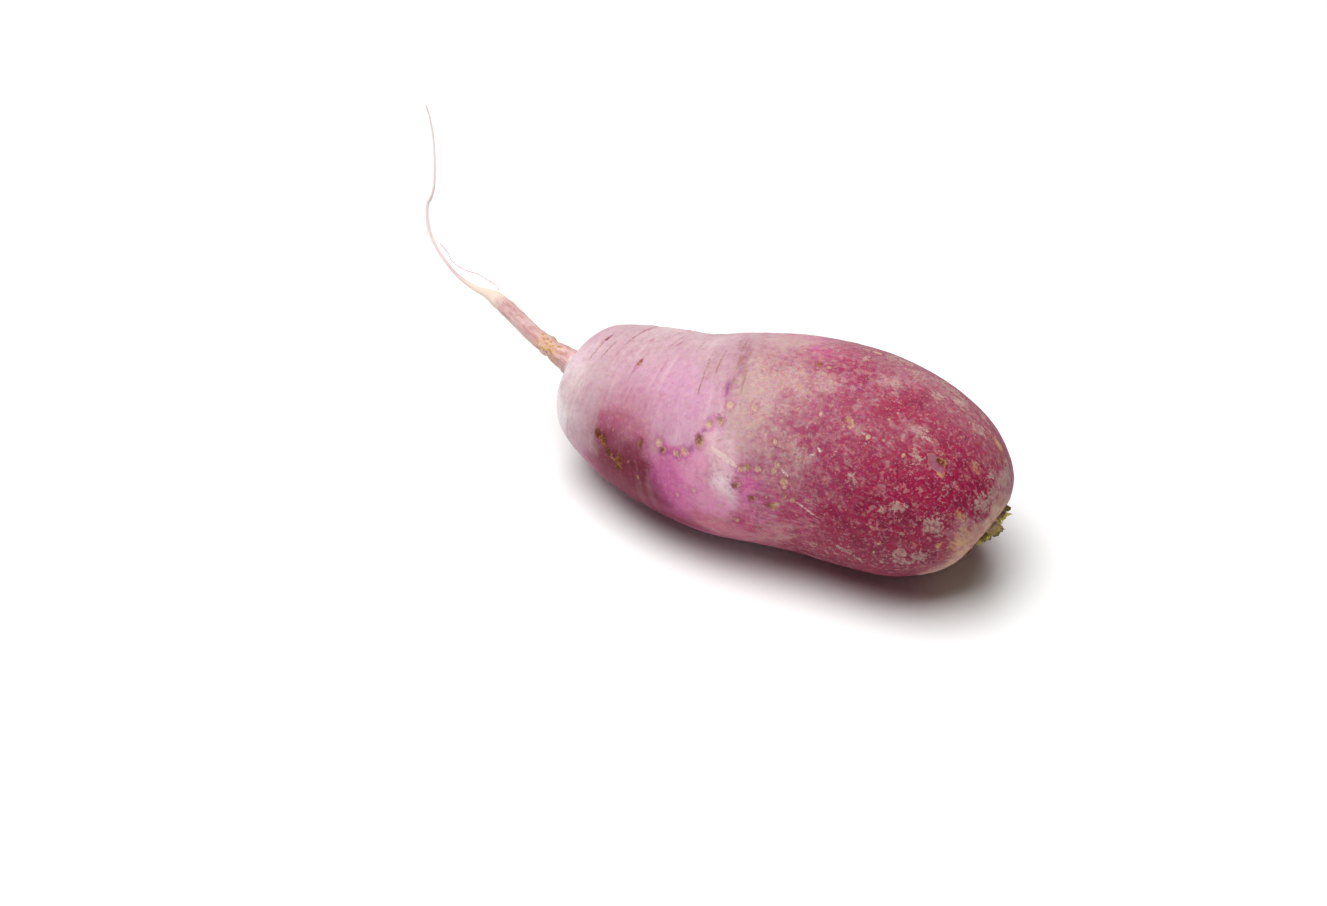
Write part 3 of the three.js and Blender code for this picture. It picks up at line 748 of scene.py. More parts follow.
    # Dots, corky islands, yellow streaks and peeled spots.
    specks = f.math("MAXIMUM", f.dots(spot, 2.4, 0.13, 0.3), f.dots(spot, 1.2, 0.17, 0.22))
    specks = f.times(specks, f.fade(ripe, 0, 1, 0.06, 1), f.fade(fine, 0.3, 0.6, 0.35, 1))
    colour = f.coat(colour, tones.speck, specks, 0.62)
    island = f.times(
        patch(cork, 3.4, 0.4, 0.62), f.fade(lace, 0.38, 0.54, 0.3, 1), f.fade(fine, 0.34, 0.52, 0.5, 1))
    colour = f.coat(colour, f.mix(f.fade(shred, 0.4, 0.62), tones.cork, tones.sand), island, 0.82)
    fibres = f.noise(f.stretch(skin, (1, 1, 0.5)), 1.5, 6, 0.7)
    smudge = f.fade(f.sum(straw, f.weigh((ragged, 1.6), (f.sum(fibres, -0.5), 2.6))), 0.38, 1.1)
    colour = f.coat(colour, tones.straw, smudge, 0.72)
    bare = patch(peel, 0.7, 0.42, 0.52)
    colour = f.coat(colour, tones.straw, patch(peel, 2.2, 0.2, 0.45), f.rest(bare), 0.45)
    colour = f.coat(colour, tones.bare, bare, f.fade(lace, 0.35, 0.6, 0.75, 0.45))

    # Creases, then tan scars with a darker edge and a brown pit to one side, and scratches.
    fold = patch(crease, 1.6, 0.55, 1.1)
    colour = f.coat(colour, tones.crease, fold, f.fade(fine, 0.4, 0.6, 0.4, 0.85))
    lobes = f.noise(spot, 1.1, 3, 0.6)
    wander = f.weigh((ragged, 1.3), (f.sum(lobes, -0.5), 2.2))
    reach = f.sum(scar, wander)
    scab = f.fade(reach, 1.15, 0.6)
    edge = f.times(f.fade(reach, 2.0, 1.1), f.rest(f.times(scab, 0.6)), f.fade(scar_pale, 0.85, 1, 0.55, 0.2))
    colour = f.mix(edge, colour, tones.edge, "MULTIPLY")
    golden = f.fade(f.sum(scar_pale, f.times(f.sum(fine, -0.5), 1.8)), 0.05, 0.9)
    scab_tone = f.mix(golden, tones.scar, tones.speck)
    colour = f.coat(colour, scab_tone, scab, f.fade(f.sum(lobes, fine), 0.75, 1.15, 0.4, 0.85))
    pit = f.times(
        f.fade(f.sum(pit, f.times(wander, 0.9)), 1.5, 0.5), f.fade(scar_pale, 0.05, 0.8, 0.95, 0.12))
    colour = f.mix(pit, colour, f.mix(f.fade(fine, 0.5, 0.7), tones.pit, tones.scar))
    stroke = patch(scratch, 0.9, 0.82, 1.12)
    colour = f.coat(colour, tones.scratch, stroke, f.fade(fine, 0.35, 0.65, 0.4, 0.8))

    # Tap root: mauve tan with lengthwise streaks and brown dots, cream at the torn end and on its
    # lower side, which is partly painted light; ochre dents at its knots, then a whitish thread.
    _, above, along = f.add("ShaderNodeSeparateXYZ", {}, {0: skin}).node.outputs
    tap = f.fade(along, 0.5, -3.5)
    grainy = f.noise(f.stretch(skin, (1, 1, 0.16)), 1.6, 3, 0.6)
    stalk = f.mix(f.fade(grainy, 0.4, 0.62), tones.tap, tones.tap_dark)
    stalk = f.coat(stalk, tones.cream, f.fade(f.noise(spot, 5, 2), 0.52, 0.68, 0, 0.5))
    # Cream on the lower side of the thick tap root: partly a paler sheath, partly painted light on that side.
    stalk = f.coat(stalk, tones.sheath, patch(above, 8, 0.6, -1.2), f.fade(along, -16, -24), 0.75)
    knots = f.times(f.fade(along, -20, -15), f.fade(along, -5, -10), f.fade(cloud, 0.44, 0.56))
    stalk = f.coat(stalk, tones.straw, knots, 0.75)
    dents = f.times(f.fade(along, -22, -15), f.fade(along, -3, -9), f.fade(lace, 0.52, 0.62))
    stalk = f.coat(stalk, tones.scar, dents, 0.8)
    warts = f.times(f.dots(spot, 3.0, 0.22, 0.4), f.fade(along, -44, -34), f.fade(above, -1, 1))
    stalk = f.coat(stalk, tones.scar, warts, 0.8)
    stalk = f.coat(stalk, tones.sheath, patch(along, 14, -44, -54))
    stalk = f.coat(stalk, tones.thread, f.fade(along, -72, -92))
    colour = f.mix(tap, colour, stalk)

    # Crown: brown and rough inside the rim, partly the dried cut and partly painted shade in the dish between
    # the stubs.
    crown_brown_and_shade = f.mix(f.fade(fine, 0.35, 0.65), tones.pit, tones.cork)
    colour = f.coat(colour, crown_brown_and_shade, patch(f.value("crown"), 0.5, 0.35, 0.6))

    f.relief(f.weigh(
        (fine, 0.06), (grain, 0.02), (film, 0.03), (specks, 0.04), (fold, -0.1), (island, 0.05),
        (scab, 0.05), (pit, -0.12), (stroke, -0.03), (band, 0.1), (bare, -0.06), (f.times(grainy, tap), 0.2),
    ))
    rough = f.sum(f.fade(fine, 0.3, 0.7, 0.48, 0.58), f.weigh((film, 0.06), (island, 0.15), (scab, 0.2)))
    return f.finish(colour, rough, 0.15)


# ---------------------------------------------------------------------------
# Swollen root and tap root
# ---------------------------------------------------------------------------

SKIN_INSET = 0.25
PROFILE_STEP = 0.05
TAP_ROUTE_INSIDE = 6.3  # how much of the tap root's route lies inside the swollen root
POLE_FALL = 9  # how fast the swollen root's radius falls off before its start
NECK_START, NECK_END = -3, 6  # where the tap root and the swollen root are joined by a fillet
NECK_BLEND = 1.1
NECK_SINK = 0.18
FLOOR_LEVEL = 0
CROWN_PROFILE = [  # (distance, radius) over the rim and into the shallow dish of the crown
    (156.6, 15.6), (157.2, 14.5), (157.4, 13.5), (157, 12.6), (156.4, 11.6), (156.2, 10), (156.5, 7),
    (157, 4), (157.2, 1.5), (157.3, 0.4),
]
RING_PLAN = [  # (what a stretch's end is measured by, its value there, vertices of a ring, spacing)
    ("distance", -80, 12, 1.2),
    ("distance", -58, 24, 0.8),
    ("distance", -2.5, 48, 0.45),
    ("radius", 7.5, 96, 0.4),
    ("radius", 15, 192, 0.5),
    ("belly", 17.5, 384, 0.86),
    ("crown", 12.2, 192, 0.5),
    ("crown", 5, 96, 0.55),
    ("crown", 0.5, 48, 0.6),
]


def radius_list(points, steps):
    """A smooth radius as two arrays, distance and radius, from a list of (distance, radius)."""
    line = curve_through([(radius, distance) for distance, radius in points], steps, reflect=False)
    return line[:, 1], line[:, 0]


def root_profile():
    """Distance and radius from the tip of the tap root to the middle of the crown. At the neck the
    two radii join as a smooth maximum, half their sum plus half the root of their squared
    difference plus a blend squared, sunk a little, which leaves a small hollow fillet."""
    start = AXIS.distance[0]
    distance = np.arange(start, CROWN_PROFILE[0][0], PROFILE_STEP)
    body_s, body_r = radius_list(ROOT_PROFILE, 12)
    tap_s, tap_r = radius_list(TAP_PROFILE, 12)
    share = distance / start
    tap = np.interp(share * (tap_s[-1] - TAP_ROUTE_INSIDE) + TAP_ROUTE_INSIDE, tap_s, tap_r)
    swell = np.interp(distance, body_s, body_r - SKIN_INSET)
    before = ROOT_PROFILE[0][1] - SKIN_INSET + POLE_FALL * distance
    swell = np.where(distance < 0, before, swell)
    neck = 0.5 * (swell + tap + np.hypot(swell - tap, NECK_BLEND)) - NECK_SINK
    radius = np.where(distance < NECK_END, neck, swell)
    radius = np.where(distance < NECK_START, tap, radius)
    crown = curve_through(CROWN_PROFILE, 12)
    return np.vstack([np.stack([distance, radius], 1), crown])


def ring_stations(profile):
    """Where each ring lies on the profile, and how many vertices it has."""
    measure = run_length(profile)
    widest = int(np.argmax(profile[:, 1]))
    stops = []
    for kind, stop, *_ in RING_PLAN:
        values = profile[:, 0] if kind == "distance" else profile[:, 1]
        index = np.arange(len(values))
        if kind in ("distance", "radius"):
            hit = index[(values >= stop) & (index < widest)][0]
        else:
            hit = index[(values <= stop) & (index > widest)][0]
        stops.append(measure[hit])
    places, counts = [], []
    begin = measure[0] + 0.3
    for (_, _, count, step), end in zip(RING_PLAN, stops):
        rings = max(2, int((end - begin) / step))
        places.append(np.linspace(begin, end, rings, endpoint=False))
        counts += [count] * rings
        begin = end
    places = np.concatenate(places)
    stations = np.stack([np.interp(places, measure, profile[:, k]) for k in range(2)], 1)
    slope = unit(np.stack([np.gradient(stations[:, 0], places), np.gradient(stations[:, 1], places)], 1))
    return stations, slope, np.array(counts)


def root_surface():
    """Every vertex as flat arrays: its place, the outward direction, distance, angle and radius;
    and the rings' sizes. The place is centre + radius * radial, and the outward direction is
    radial * cos(slope) - along * sin(slope), square to the profile."""
    profile = root_profile()
    stations, slope, counts = ring_stations(profile)
    ring = np.repeat(np.arange(len(counts)), counts)
    first = np.r_[0, np.cumsum(counts)][:-1]
    turn = (np.arange(len(ring)) - first[ring]) / counts[ring] * 2 * np.pi
    scaled = np.where(stations[:, 0] > 0, stations[:, 0] * AXIS_LENGTH / ROOT_LENGTH, stations[:, 0])
    centre, along, side, lift = (x[ring] for x in AXIS.frame(scaled))
    distance, radius = stations[ring].T
    radial = np.cos(turn)[:, None] * side + np.sin(turn)[:, None] * lift
    outward = radial * slope[ring, :1] - along * slope[ring, 1:]
    points = centre + radius[:, None] * radial
    return points, outward, distance, np.degrees(turn), radius, counts


def relief_height(distance, angle, radius, sizes):
    """How far the skin stands out, in millimetres: broad lumps, wrinkles that run round the root,
    sunk scars with raised rims, islands of cork, and knots and ridges on the tap root."""
    turn = np.radians(angle)
    skin = on_skin(angle, distance)
    on_body = smooth(distance, 1, 8)
    height = sizes.lumps / MM * layered_noise(skin / 26, 3, 5) * on_body
    height += 0.09 * layered_noise(skin / 5.5, 2, 21) * on_body

    wrinkle = wrinkle_strength(distance, angle, radius)
    round_lines = layered_noise(skin * (0.035, 0.035, 0.42), 3, 9)
    ridged = 1 - 2 * np.abs(layered_noise(skin * (0.028, 0.028, 0.3), 2, 33))
    folds = 0.8 * round_lines - 0.7 * np.maximum(ridged - 0.55, 0)
    height += sizes.wrinkles / MM * wrinkle * folds * on_body

    reach, pit, _ = scar_fields(distance, angle, radius)
    height += 0.14 * np.exp(-(((reach - 1.0) / 0.4) ** 2)) - 0.3 * np.exp(-((pit / 0.8) ** 2))
    height += 0.1 * smooth(blots(distance, angle, radius, CORK), 0.3, 0.55)
    height -= 0.16 * smooth(streaks(distance, angle, radius, PEELED), 0.35, 0.6)

    knots = np.exp(-(((distance + 9.5) / 2.4) ** 2)) * (0.5 + 0.5 * np.sin(turn * 2 + 0.6))
    knots += 0.8 * np.exp(-(((distance + 14.5) / 1.5) ** 2)) * (0.5 + 0.5 * np.sin(turn * 3 + 2.0))
    waist = np.exp(-(((distance + 12.3) / 1.1) ** 2)) + 0.7 * np.exp(-(((distance + 5.5) / 1.6) ** 2))
    narrow = on_skin(angle, distance, 3)
    ridges = layered_noise(narrow * (0.6, 0.6, 0.09), 2, 41)
    warts = layered_noise(narrow * (0.5, 0.5, 0.4), 2, 47)
    thick = smooth(distance, -63, -50) * (1 - smooth(distance, -4, 0))
    tap = 0.55 * knots - 0.45 * waist + 0.3 * ridges + 0.22 * warts
    return height + thick * tap * np.minimum(radius / 3, 1)


def wrinkle_strength(distance, angle, radius):
    """How wrinkled the skin is: most on the pale half, and in two bands before the rose half."""
    pale = 1 - smooth(distance, 70, 100)
    bands = streaks(distance, angle, radius, WRINKLE_BANDS)
    return np.clip(0.55 * pale + 0.25 + 0.9 * bands, 0, 1.6) * (1 - 0.4 * smooth(distance, 120, 150))


def skin_values(distance, angle, radius, tones):
    """The fields that the skin's material reads at each vertex."""
    skin = on_skin(angle, distance, np.where(distance < -1, np.maximum(radius, 1.0), SKIN_REACH))
    colour, ripe = ground_tones(distance, angle, radius, tones)
    thick = blots(distance, angle, radius, THICK)
    thin = blots(distance, angle, radius, THIN)
    cover = np.interp(distance, *np.transpose(COVER)) + thick - thin
    sandy = 2 * thick + 0.6 * (1 - smooth(distance, 84, 110))
    cork, straw = (blots(distance, angle, radius, marks) for marks in (CORK, STRAW))
    crease, peel, veil, scratch = (
        streaks(distance, angle, radius, lines) for lines in (CREASES, PEELED, VEILS, SCRATCHES))
    low_side = np.cos(np.radians(angle + 10))
    flow = smooth(low_side, 0.5, 0.95) * smooth(distance, 72, 86) * (1 - 0.8 * smooth(distance, 104, 116))
    reach, pit, paleness = scar_fields(distance, angle, radius)
    crown = np.where(distance > 150, smooth(-radius, -15.2, -12.8), 0.0)
    return {
        "skin": skin,
        "ground": np.column_stack([colour, ripe]),
        "film": np.stack([cover, sandy, cork, straw], 1),
        "lines": np.stack([crease, peel, veil, flow], 1),
        "marks": np.stack([reach, pit, paleness, scratch], 1),
        "wrinkle": wrinkle_strength(distance, angle, radius),
        "crown": crown,
    }


def make_root(sizes, tones):
    """The whole root as one closed skin, flattened where it would dip under the floor."""
    points, outward, distance, angle, radius, counts = root_surface()
    points = points + relief_height(distance, angle, radius, sizes)[:, None] * outward
    points[:, 2] = np.maximum(points[:, 2], FLOOR_LEVEL)
    first, second = (points[k * counts[0] : (k + 1) * counts[0]].mean(0) for k in (0, 1))
    tip = first + (first - second) * 0.2
    crown = points[-counts[-1] :].mean(0)
    quads, corners = ring_faces(counts)
    faces = [*quads, *corners, *close_ends(counts[0], counts[-1], len(points))]
    values = skin_values(distance, angle, radius, tones)
    values = {key: np.concatenate([value, value[[0, -1]]]) for key, value in values.items()}
    values["skin"][-2:, :2] = 0
    points = np.vstack([points, tip, crown])
    return store("root_skin", points, faces, values, skin_finish(tones), ["root"])


# ---------------------------------------------------------------------------
# Side root
# ---------------------------------------------------------------------------


SIDE_ROOT_START = (-149.2, 41.7, 26.6)  # inside the tap root
SIDE_ROOT_SEED = 5
SIDE_ROOT_SIDES = 10


def fine_root_finish(tones):
    """A fine root: whitish lilac with faint lengthwise streaks, slightly warmer where it dries."""
    f = Finish("fine root")
    spot = f.place()
    soft = f.noise(spot, 4, 2)
    fine = f.noise(spot, 0.6, 3)
    colour = f.mix(f.fade(soft, 0.4, 0.65), tones.thread, tones.side_root)
    colour = f.coat(colour, tones.tap, f.fade(fine, 0.5, 0.75, 0, 0.4))
    f.relief(f.times(fine, 0.03))
    return f.finish(colour, f.fade(fine, 0.3, 0.7, 0.5, 0.65), 0.4)


def make_side_root(tones):
    """A hair whose radius swells and shrinks a little along it; its first point is in the tap root."""
    line = resample(curve_through([SIDE_ROOT_START, *SIDE_ROOT_ROUTE], 20), 0.5)
    place = run_length(line)
    draw = np.random.default_rng(SIDE_ROOT_SEED)
    wave = np.interp(place, np.arange(0, 90, 6), draw.uniform(0.72, 1.0, 15))
    taper = np.interp(place, [0, 3, place[-1] - 4, place[-1]], [1, 1, 0.9, 0.45])
    centre, _, side, lift = Axis(line, 0.0).frame(place)
    rings = round_rings(centre, side, lift, SIDE_ROOT_RADIUS * wave * taper, SIDE_ROOT_SIDES)
    points, faces = closed_stack(rings, line[[0, -1]])
    return store("side_root_hair", points, faces, {}, fine_root_finish(tones), ["side_root"])


# ---------------------------------------------------------------------------
# Crown: leaf-stalk stubs and heart bud
# ---------------------------------------------------------------------------

STUB_AROUND = 60
STUB_LEVELS = 13
STUB_FOOT = 1.2  # how deep a stub starts inside the crown
STUB_FACE = np.array([0.9, 0.72, 0.5, 0.28, 0.1])  # rings of the cut face, as shares of the rim
STUB_SEED = 23
STRAND_SIDES = 5
STRAND_STEPS = 9
STRAND_FLATTENING = 1.6
BUD_AROUND = 60
BUD_LEVELS = 30
BUD_TOP = 3.75
BUD_FOOT = 0.4


def crown_frame():
    """The crown's origin and the directions of its x, y and z: z points straight out of it."""
    centre, along, side, lift = AXIS.frame(np.array(AXIS.distance[-1]))
    return centre, -side, lift, along


def to_row(points):
    """Points given in the crown's own directions, in the row's."""
    centre, x, y, z = crown_frame()
    return centre + points[..., :1] * x + points[..., 1:2] * y + points[..., 2:] * z


def stalk_section(count):
    """A closed stalk section: half an ellipse on the outer side and a shallow groove on the other,
    evenly spaced, with its corners eased."""
    angle = np.linspace(0, np.pi, 60)
    outer = np.stack([STUB_THICKNESS * np.sin(angle), -0.5 * STUB_WIDTH * np.cos(angle)], 1)
    inner = np.stack([STUB_GROOVE * np.sin(angle), -0.5 * STUB_WIDTH * np.cos(angle)], 1)[::-1]
    loop = np.vstack([outer, inner[1:]])
    loop = resample(loop, run_length(loop)[-1] / count)[:count]
    for _ in range(2):
        loop = (np.roll(loop, 1, 0) + 2 * loop + np.roll(loop, -1, 0)) / 4
    loop[:, 0] -= 0.5 * STUB_THICKNESS
    return loop


def stub_parts(height, draw):
    """A torn stalk in its own directions. Walls: the section carried up to a ragged rim, leaning
    out by tan(splay), bulged and ribbed a little; then the cut face, the rim drawn in towards the
    middle and sunk. Returns its rings and how far up each lies from 0 to 1."""
    section = stalk_section(STUB_AROUND)
    phase = draw.uniform(0, 50)
    turn = np.arange(STUB_AROUND) / STUB_AROUND * 2 * np.pi
    around = np.stack([np.cos(turn), np.sin(turn), np.full(STUB_AROUND, phase)], 1)
    teeth = np.maximum(value_noise(around * 3, 67), 0)
    ragged = 0.67 + 0.3 * layered_noise(around, 2, 61) + 0.07 * teeth
    rim = height * np.clip(ragged, 0.3, 0.98) * (1 + 0.2 * section[:, 1] / STUB_WIDTH)
    share = np.linspace(0, 1, STUB_LEVELS)
    up = share[:, None]
    level = -STUB_FOOT + up * (rim[None] + STUB_FOOT)
    rib = 0.09 * value_noise(around * (5, 5, 1), 71)
    grow = 1.02 - 0.1 * up + rib[None] + 0.05 * np.sin(6 * up + phase)
    wall = np.concatenate([section[None] * grow[..., None], level[..., None]], 2)
    middle = section.mean(0)
    sunk = np.clip(rim.min() * 0.85, 0.2, None)
    inner = middle + (wall[-1, :, :2] - middle)[None] * STUB_FACE[:, None, None]
    drop = rim[None] + (sunk - rim[None]) * (1 - STUB_FACE[:, None]) ** 0.5
    spread = np.concatenate([inner * 1.9, np.full((*inner.shape[:2], 1), phase)], 2)
    face = np.concatenate([inner, (drop + 0.22 * value_noise(spread, 73))[..., None]], 2)
    rings = np.vstack([wall, face])
    rings[..., 0] += np.maximum(rings[..., 2], 0) * math.tan(STUB_SPLAY)
    return rings, np.r_[share, np.ones(len(STUB_FACE))]


def strand_parts(rings, height, draw):
    """Torn strands for one stub, as stacked rings: from a point near the rim, up and outwards, by
    start + lift * t + curl * t squared, thinning towards the tip."""
    strands = []
    for _ in range(int(draw.integers(1, 4))):
        at = int(draw.integers(STUB_AROUND))
        start = rings[STUB_LEVELS - 3, at]
        length = height * draw.uniform(0.2, 0.42)
        out = start[:2] / max(np.linalg.norm(start[:2]), 0.5)
        lift = np.array([*(out * draw.uniform(0.1, 0.7)), 1.0]) * length
        bend = out * draw.uniform(-0.3, 0.9) + draw.uniform(-0.5, 0.5, 2)
        curl = np.array([*bend, draw.uniform(-0.9, 0.0)]) * length * 0.6
        t = np.linspace(0, 1, STRAND_STEPS)[:, None]
        line = start + lift * t + curl * t * t
        width = draw.uniform(0.14, 0.26) * (1 - t[:, 0] ** 1.5 * 0.85)
        along = unit(np.gradient(line, axis=0))
        side = unit(np.cross(along, [0.31, 0.92, 0.23]))
        flat = np.cross(along, side)
        strands.append(round_rings(line, STRAND_FLATTENING * side, flat, width, STRAND_SIDES))
    return strands


def leaf_stalk_finish(tones):
    """A cut, half-dried leaf stalk: pinkish grey at its base, olive and fibrous above, with
    yellow-green or dark dry tips, ribbed lengthwise."""
    f = Finish("leaf stalk")
    spot = f.place()
    tip = f.value("tip")
    tone = f.value("tone")
    dryness = f.value("dryness")
    fibre = f.noise(f.stretch(f.value("stalk", "Vector"), (1, 1, 0.12)), 0.35, 3, 0.6)
    patch = f.noise(spot, 1.6, 3)
    fine = f.noise(spot, 0.5, 3)
    colour = f.mix(f.fade(fibre, 0.38, 0.62), tones.stalk, tones.stalk_dark)
    base = f.fade(f.sum(tip, f.times(patch, 0.8), -0.4), 0.75, 0.25)
    colour = f.coat(colour, tones.stalk_base, base, f.fade(fibre, 0.34, 0.44), 0.85)
    green = f.times(f.fade(f.sum(tip, f.times(patch, 0.9), -0.45), 0.6, 0.9), f.fade(tone, 0.1, 0.35))
    colour = f.coat(colour, tones.stalk_tip, green, 0.9)
    burnt = f.fade(f.sum(dryness, f.times(patch, 0.7), -0.35), 0.5, 0.8)
    colour = f.coat(colour, tones.stalk_dry, burnt, 0.85)
    colour = f.coat(colour, tones.straw, f.fade(fine, 0.5, 0.8, 0, 0.5))
    f.relief(f.weigh((fibre, 0.12), (fine, 0.05)))
    return f.finish(colour, f.fade(fine, 0.3, 0.7, 0.6, 0.8), 0.3)


def make_stub(index, material):
    """One stub: a closed torn stalk and its strands, each strand closed too, in one mesh. Stubs
    stand on a spiral, a golden angle apart, at a distance that grows as the root of their number."""
    height = STUB_HEIGHTS[index]
    draw = np.random.default_rng(STUB_SEED + index)
    rings, share = stub_parts(height, draw)
    tone, dryness = draw.uniform(0, 1), draw.uniform(0, 1)
    strand_share = np.linspace(0.8, 1.25, STRAND_STEPS)
    parts = [(rings, share), *((strand, strand_share) for strand in strand_parts(rings, height, draw))]
    points, faces, tips, total = [], [], [], 0
    for part, level in parts:
        solid, groups = closed_stack(part, [part[0].mean(0), part[-1].mean(0)])
        faces += [group + total for group in groups]
        points.append(solid)
        tips.append(np.r_[np.repeat(level, part.shape[1]), level[0], level[-1]])
        total += len(solid)
    x, y, z = np.vstack(points).T
    tips = np.concatenate(tips)
    turn = SPIRAL_START + (index + 1) * GOLDEN_ANGLE
    reach = STUB_SPACING * math.sqrt(index + STUB_INNER_STEP)
    c, s = math.cos(turn), math.sin(turn)
    placed = np.stack([c * (x + reach) - s * y, s * (x + reach) + c * y, z + GROWTH_GAP], 1)
    values = {
        "tip": tips,
        "tone": np.full(len(tips), tone),
        "dryness": np.full(len(tips), dryness) * np.clip(tips, 0.3, 1.2),
        "stalk": placed,
    }
    name = f"leaf_stub_{index + 1:02d}"
    return store(f"{name}_torn", to_row(placed), faces, values, material, [name])


def heart_bud_finish(tones):
    """The heart bud: pale yellow-green furled leaflets with brown edges at the tip."""
    f = Finish("heart bud")
    spot = f.place()
    tip = f.value("tip")
    fine = f.noise(spot, 0.5, 3)
    colour = f.mix(f.fade(fine, 0.35, 0.65), tones.stalk_tip, tones.stalk)
    browned = f.fade(f.sum(tip, f.times(fine, 0.5), -0.25), 0.6, 0.95)
    colour = f.coat(colour, tones.stalk_dry, browned)
    f.relief(f.times(fine, 0.06))
    return f.finish(colour, f.fade(fine, 0.3, 0.7, 0.55, 0.7), 0.35)


def make_heart_bud(tones):
    """A turned bud pulled in along five twisting furrows between its leaflets: its radius times
    0.78 + 0.22 * |sin(2.5 * (turn + 0.35 * height))| to the power 0.35."""
    line = curve_through(BUD_PROFILE[1:], 12)
    line = resample(line, run_length(line)[-1] / BUD_LEVELS)
    radius, height = np.maximum(line[:, :1], 0.02), line[:, 1:]
    turn = np.arange(BUD_AROUND) / BUD_AROUND * 2 * np.pi
    wide = radius * (0.78 + 0.22 * np.abs(np.sin(2.5 * (turn + 0.35 * height))) ** 0.35)
    grid = np.broadcast_arrays(2 * np.cos(turn), 2 * np.sin(turn), height)
    rough = 0.12 * layered_noise(np.stack(grid, 2), 2, 83) * (height > 0.5)
    top = np.minimum(height + rough, BUD_TOP) + GROWTH_GAP - BUD_FOOT * (height < 0.2)
    rings = np.stack([wide * np.cos(turn), wide * np.sin(turn), top], 2)
    points, faces = closed_stack(rings, [rings[0].mean(0), rings[-1].mean(0)])
    share = height[:, 0] / height[-1, 0]
    values = {"tip": np.r_[np.repeat(share, BUD_AROUND), 0, 1]}
    material = heart_bud_finish(tones)
    return store("heart_bud_furled", to_row(points), faces, values, material, ["heart_bud"])


# ---------------------------------------------------------------------------
# Studio
# ---------------------------------------------------------------------------

CAMERA_TURN = math.radians(24)
CAMERA_RISE = math.radians(41)
CAMERA_DISTANCE = 1.088
CAMERA_AIM = Vector((-0.072, 0.013, 0.0))
LIGHT_PLACE = (-0.15, -0.1, 1.1)
LIGHT_AIM = (-0.03, 0, 0.03)
LIGHT_SIZE = 1.0
FLOOR_HALF = 4.0
FLOOR_DROP = 5e-5
FLOOR_GLOW_START, FLOOR_GLOW_END = 450, 1700  # in millimetres from the middle


def look_at(obj, place, target):
    """Puts a camera or a light at a place, facing a target."""
    obj.location = place
    obj.rotation_euler = (Vector(target) - Vector(place)).to_track_quat("-Z", "Y").to_euler()
    bpy.context.scene.collection.objects.link(obj)
    return obj


def make_floor(tone):
    """A flat pale floor. Far from the radish, where the lamp does not reach, it glows a little, so
    that it stays pale out to the horizon."""
    mesh = bpy.data.meshes.new("floor")
    h, z = FLOOR_HALF, -FLOOR_DROP
    mesh.from_pydata([(-h, -h, z), (h, -h, z), (h, h, z), (-h, h, z)], [], [(0, 1, 2, 3)])
    f = Finish("studio floor")
    cloud = f.noise(f.place(), 400, 2)
    pale = f.mix(f.fade(cloud, 0.3, 0.7, 0, 0.02), tone, [0.96 * k for k in tone])
    far = f.add("ShaderNodeVectorMath", {"operation": "LENGTH"}, {0: f.place()}, "Value")
    f.feed(f.shader.inputs["Emission Color"], tone)
    f.feed(f.shader.inputs["Emission Strength"], f.fade(far, FLOOR_GLOW_START, FLOOR_GLOW_END, 0, 0.95))
    mesh.materials.append(f.finish(pale, 0.9, 0.1))
    floor = bpy.data.objects.new("studio_floor", mesh)
    bpy.context.scene.collection.objects.link(floor)


def make_light(power):
    """One square soft light overhead."""
    light = bpy.data.lights.new("key_light", "AREA")
    light.shape = "SQUARE"
    light.size = LIGHT_SIZE
    light.energy = power
    look_at(bpy.data.objects.new("key_light", light), LIGHT_PLACE, LIGHT_AIM)


def make_studio(studio):
    """Floor, soft light overhead, even fill from all round, and the camera."""
    scene = bpy.context.scene
    make_floor(studio.floor)
    make_light(studio.key)
    world = bpy.data.worlds.new("even fill")
    world.use_nodes = True
    background = world.node_tree.nodes["Background"]
    background.inputs["Color"].default_value = (1, 1, 1, 1)
    background.inputs["Strength"].default_value = studio.sky
    scene.world = world
    scene.view_settings.view_transform = "Standard"

    lens = bpy.data.cameras.new("front_camera")
    lens.lens = studio.lens
    lens.sensor_width = 36
    lens.clip_start = 0.05
    away = Vector((
        math.sin(CAMERA_TURN) * math.cos(CAMERA_RISE),
        -math.cos(CAMERA_TURN) * math.cos(CAMERA_RISE),
        math.sin(CAMERA_RISE),
    ))
    camera = bpy.data.objects.new("front_camera", lens)
    scene.camera = look_at(camera, CAMERA_AIM + CAMERA_DISTANCE * away, CAMERA_AIM)


# ---------------------------------------------------------------------------
# Settings, operators and panel
# ---------------------------------------------------------------------------


def tone(name, description, default):
    """A colour setting."""
    return FloatVectorProperty(
        name=name, description=description, default=default, subtype="COLOR", size=3, min=0, max=1)


def length(name, description, default):
    """A length setting, in metres."""
    return FloatProperty(
        name=name, description=description, default=default, min=0, unit="LENGTH", subtype="DISTANCE",
        precision=5)


class RadishSizes(bpy.types.PropertyGroup):
    """Relief of the skin."""

    lumps: length("Lumps", "Height of the broad lumps of the swollen root", 0.0004)
    wrinkles: length("Wrinkles", "Height of the wrinkles that run round the root", 0.00022)


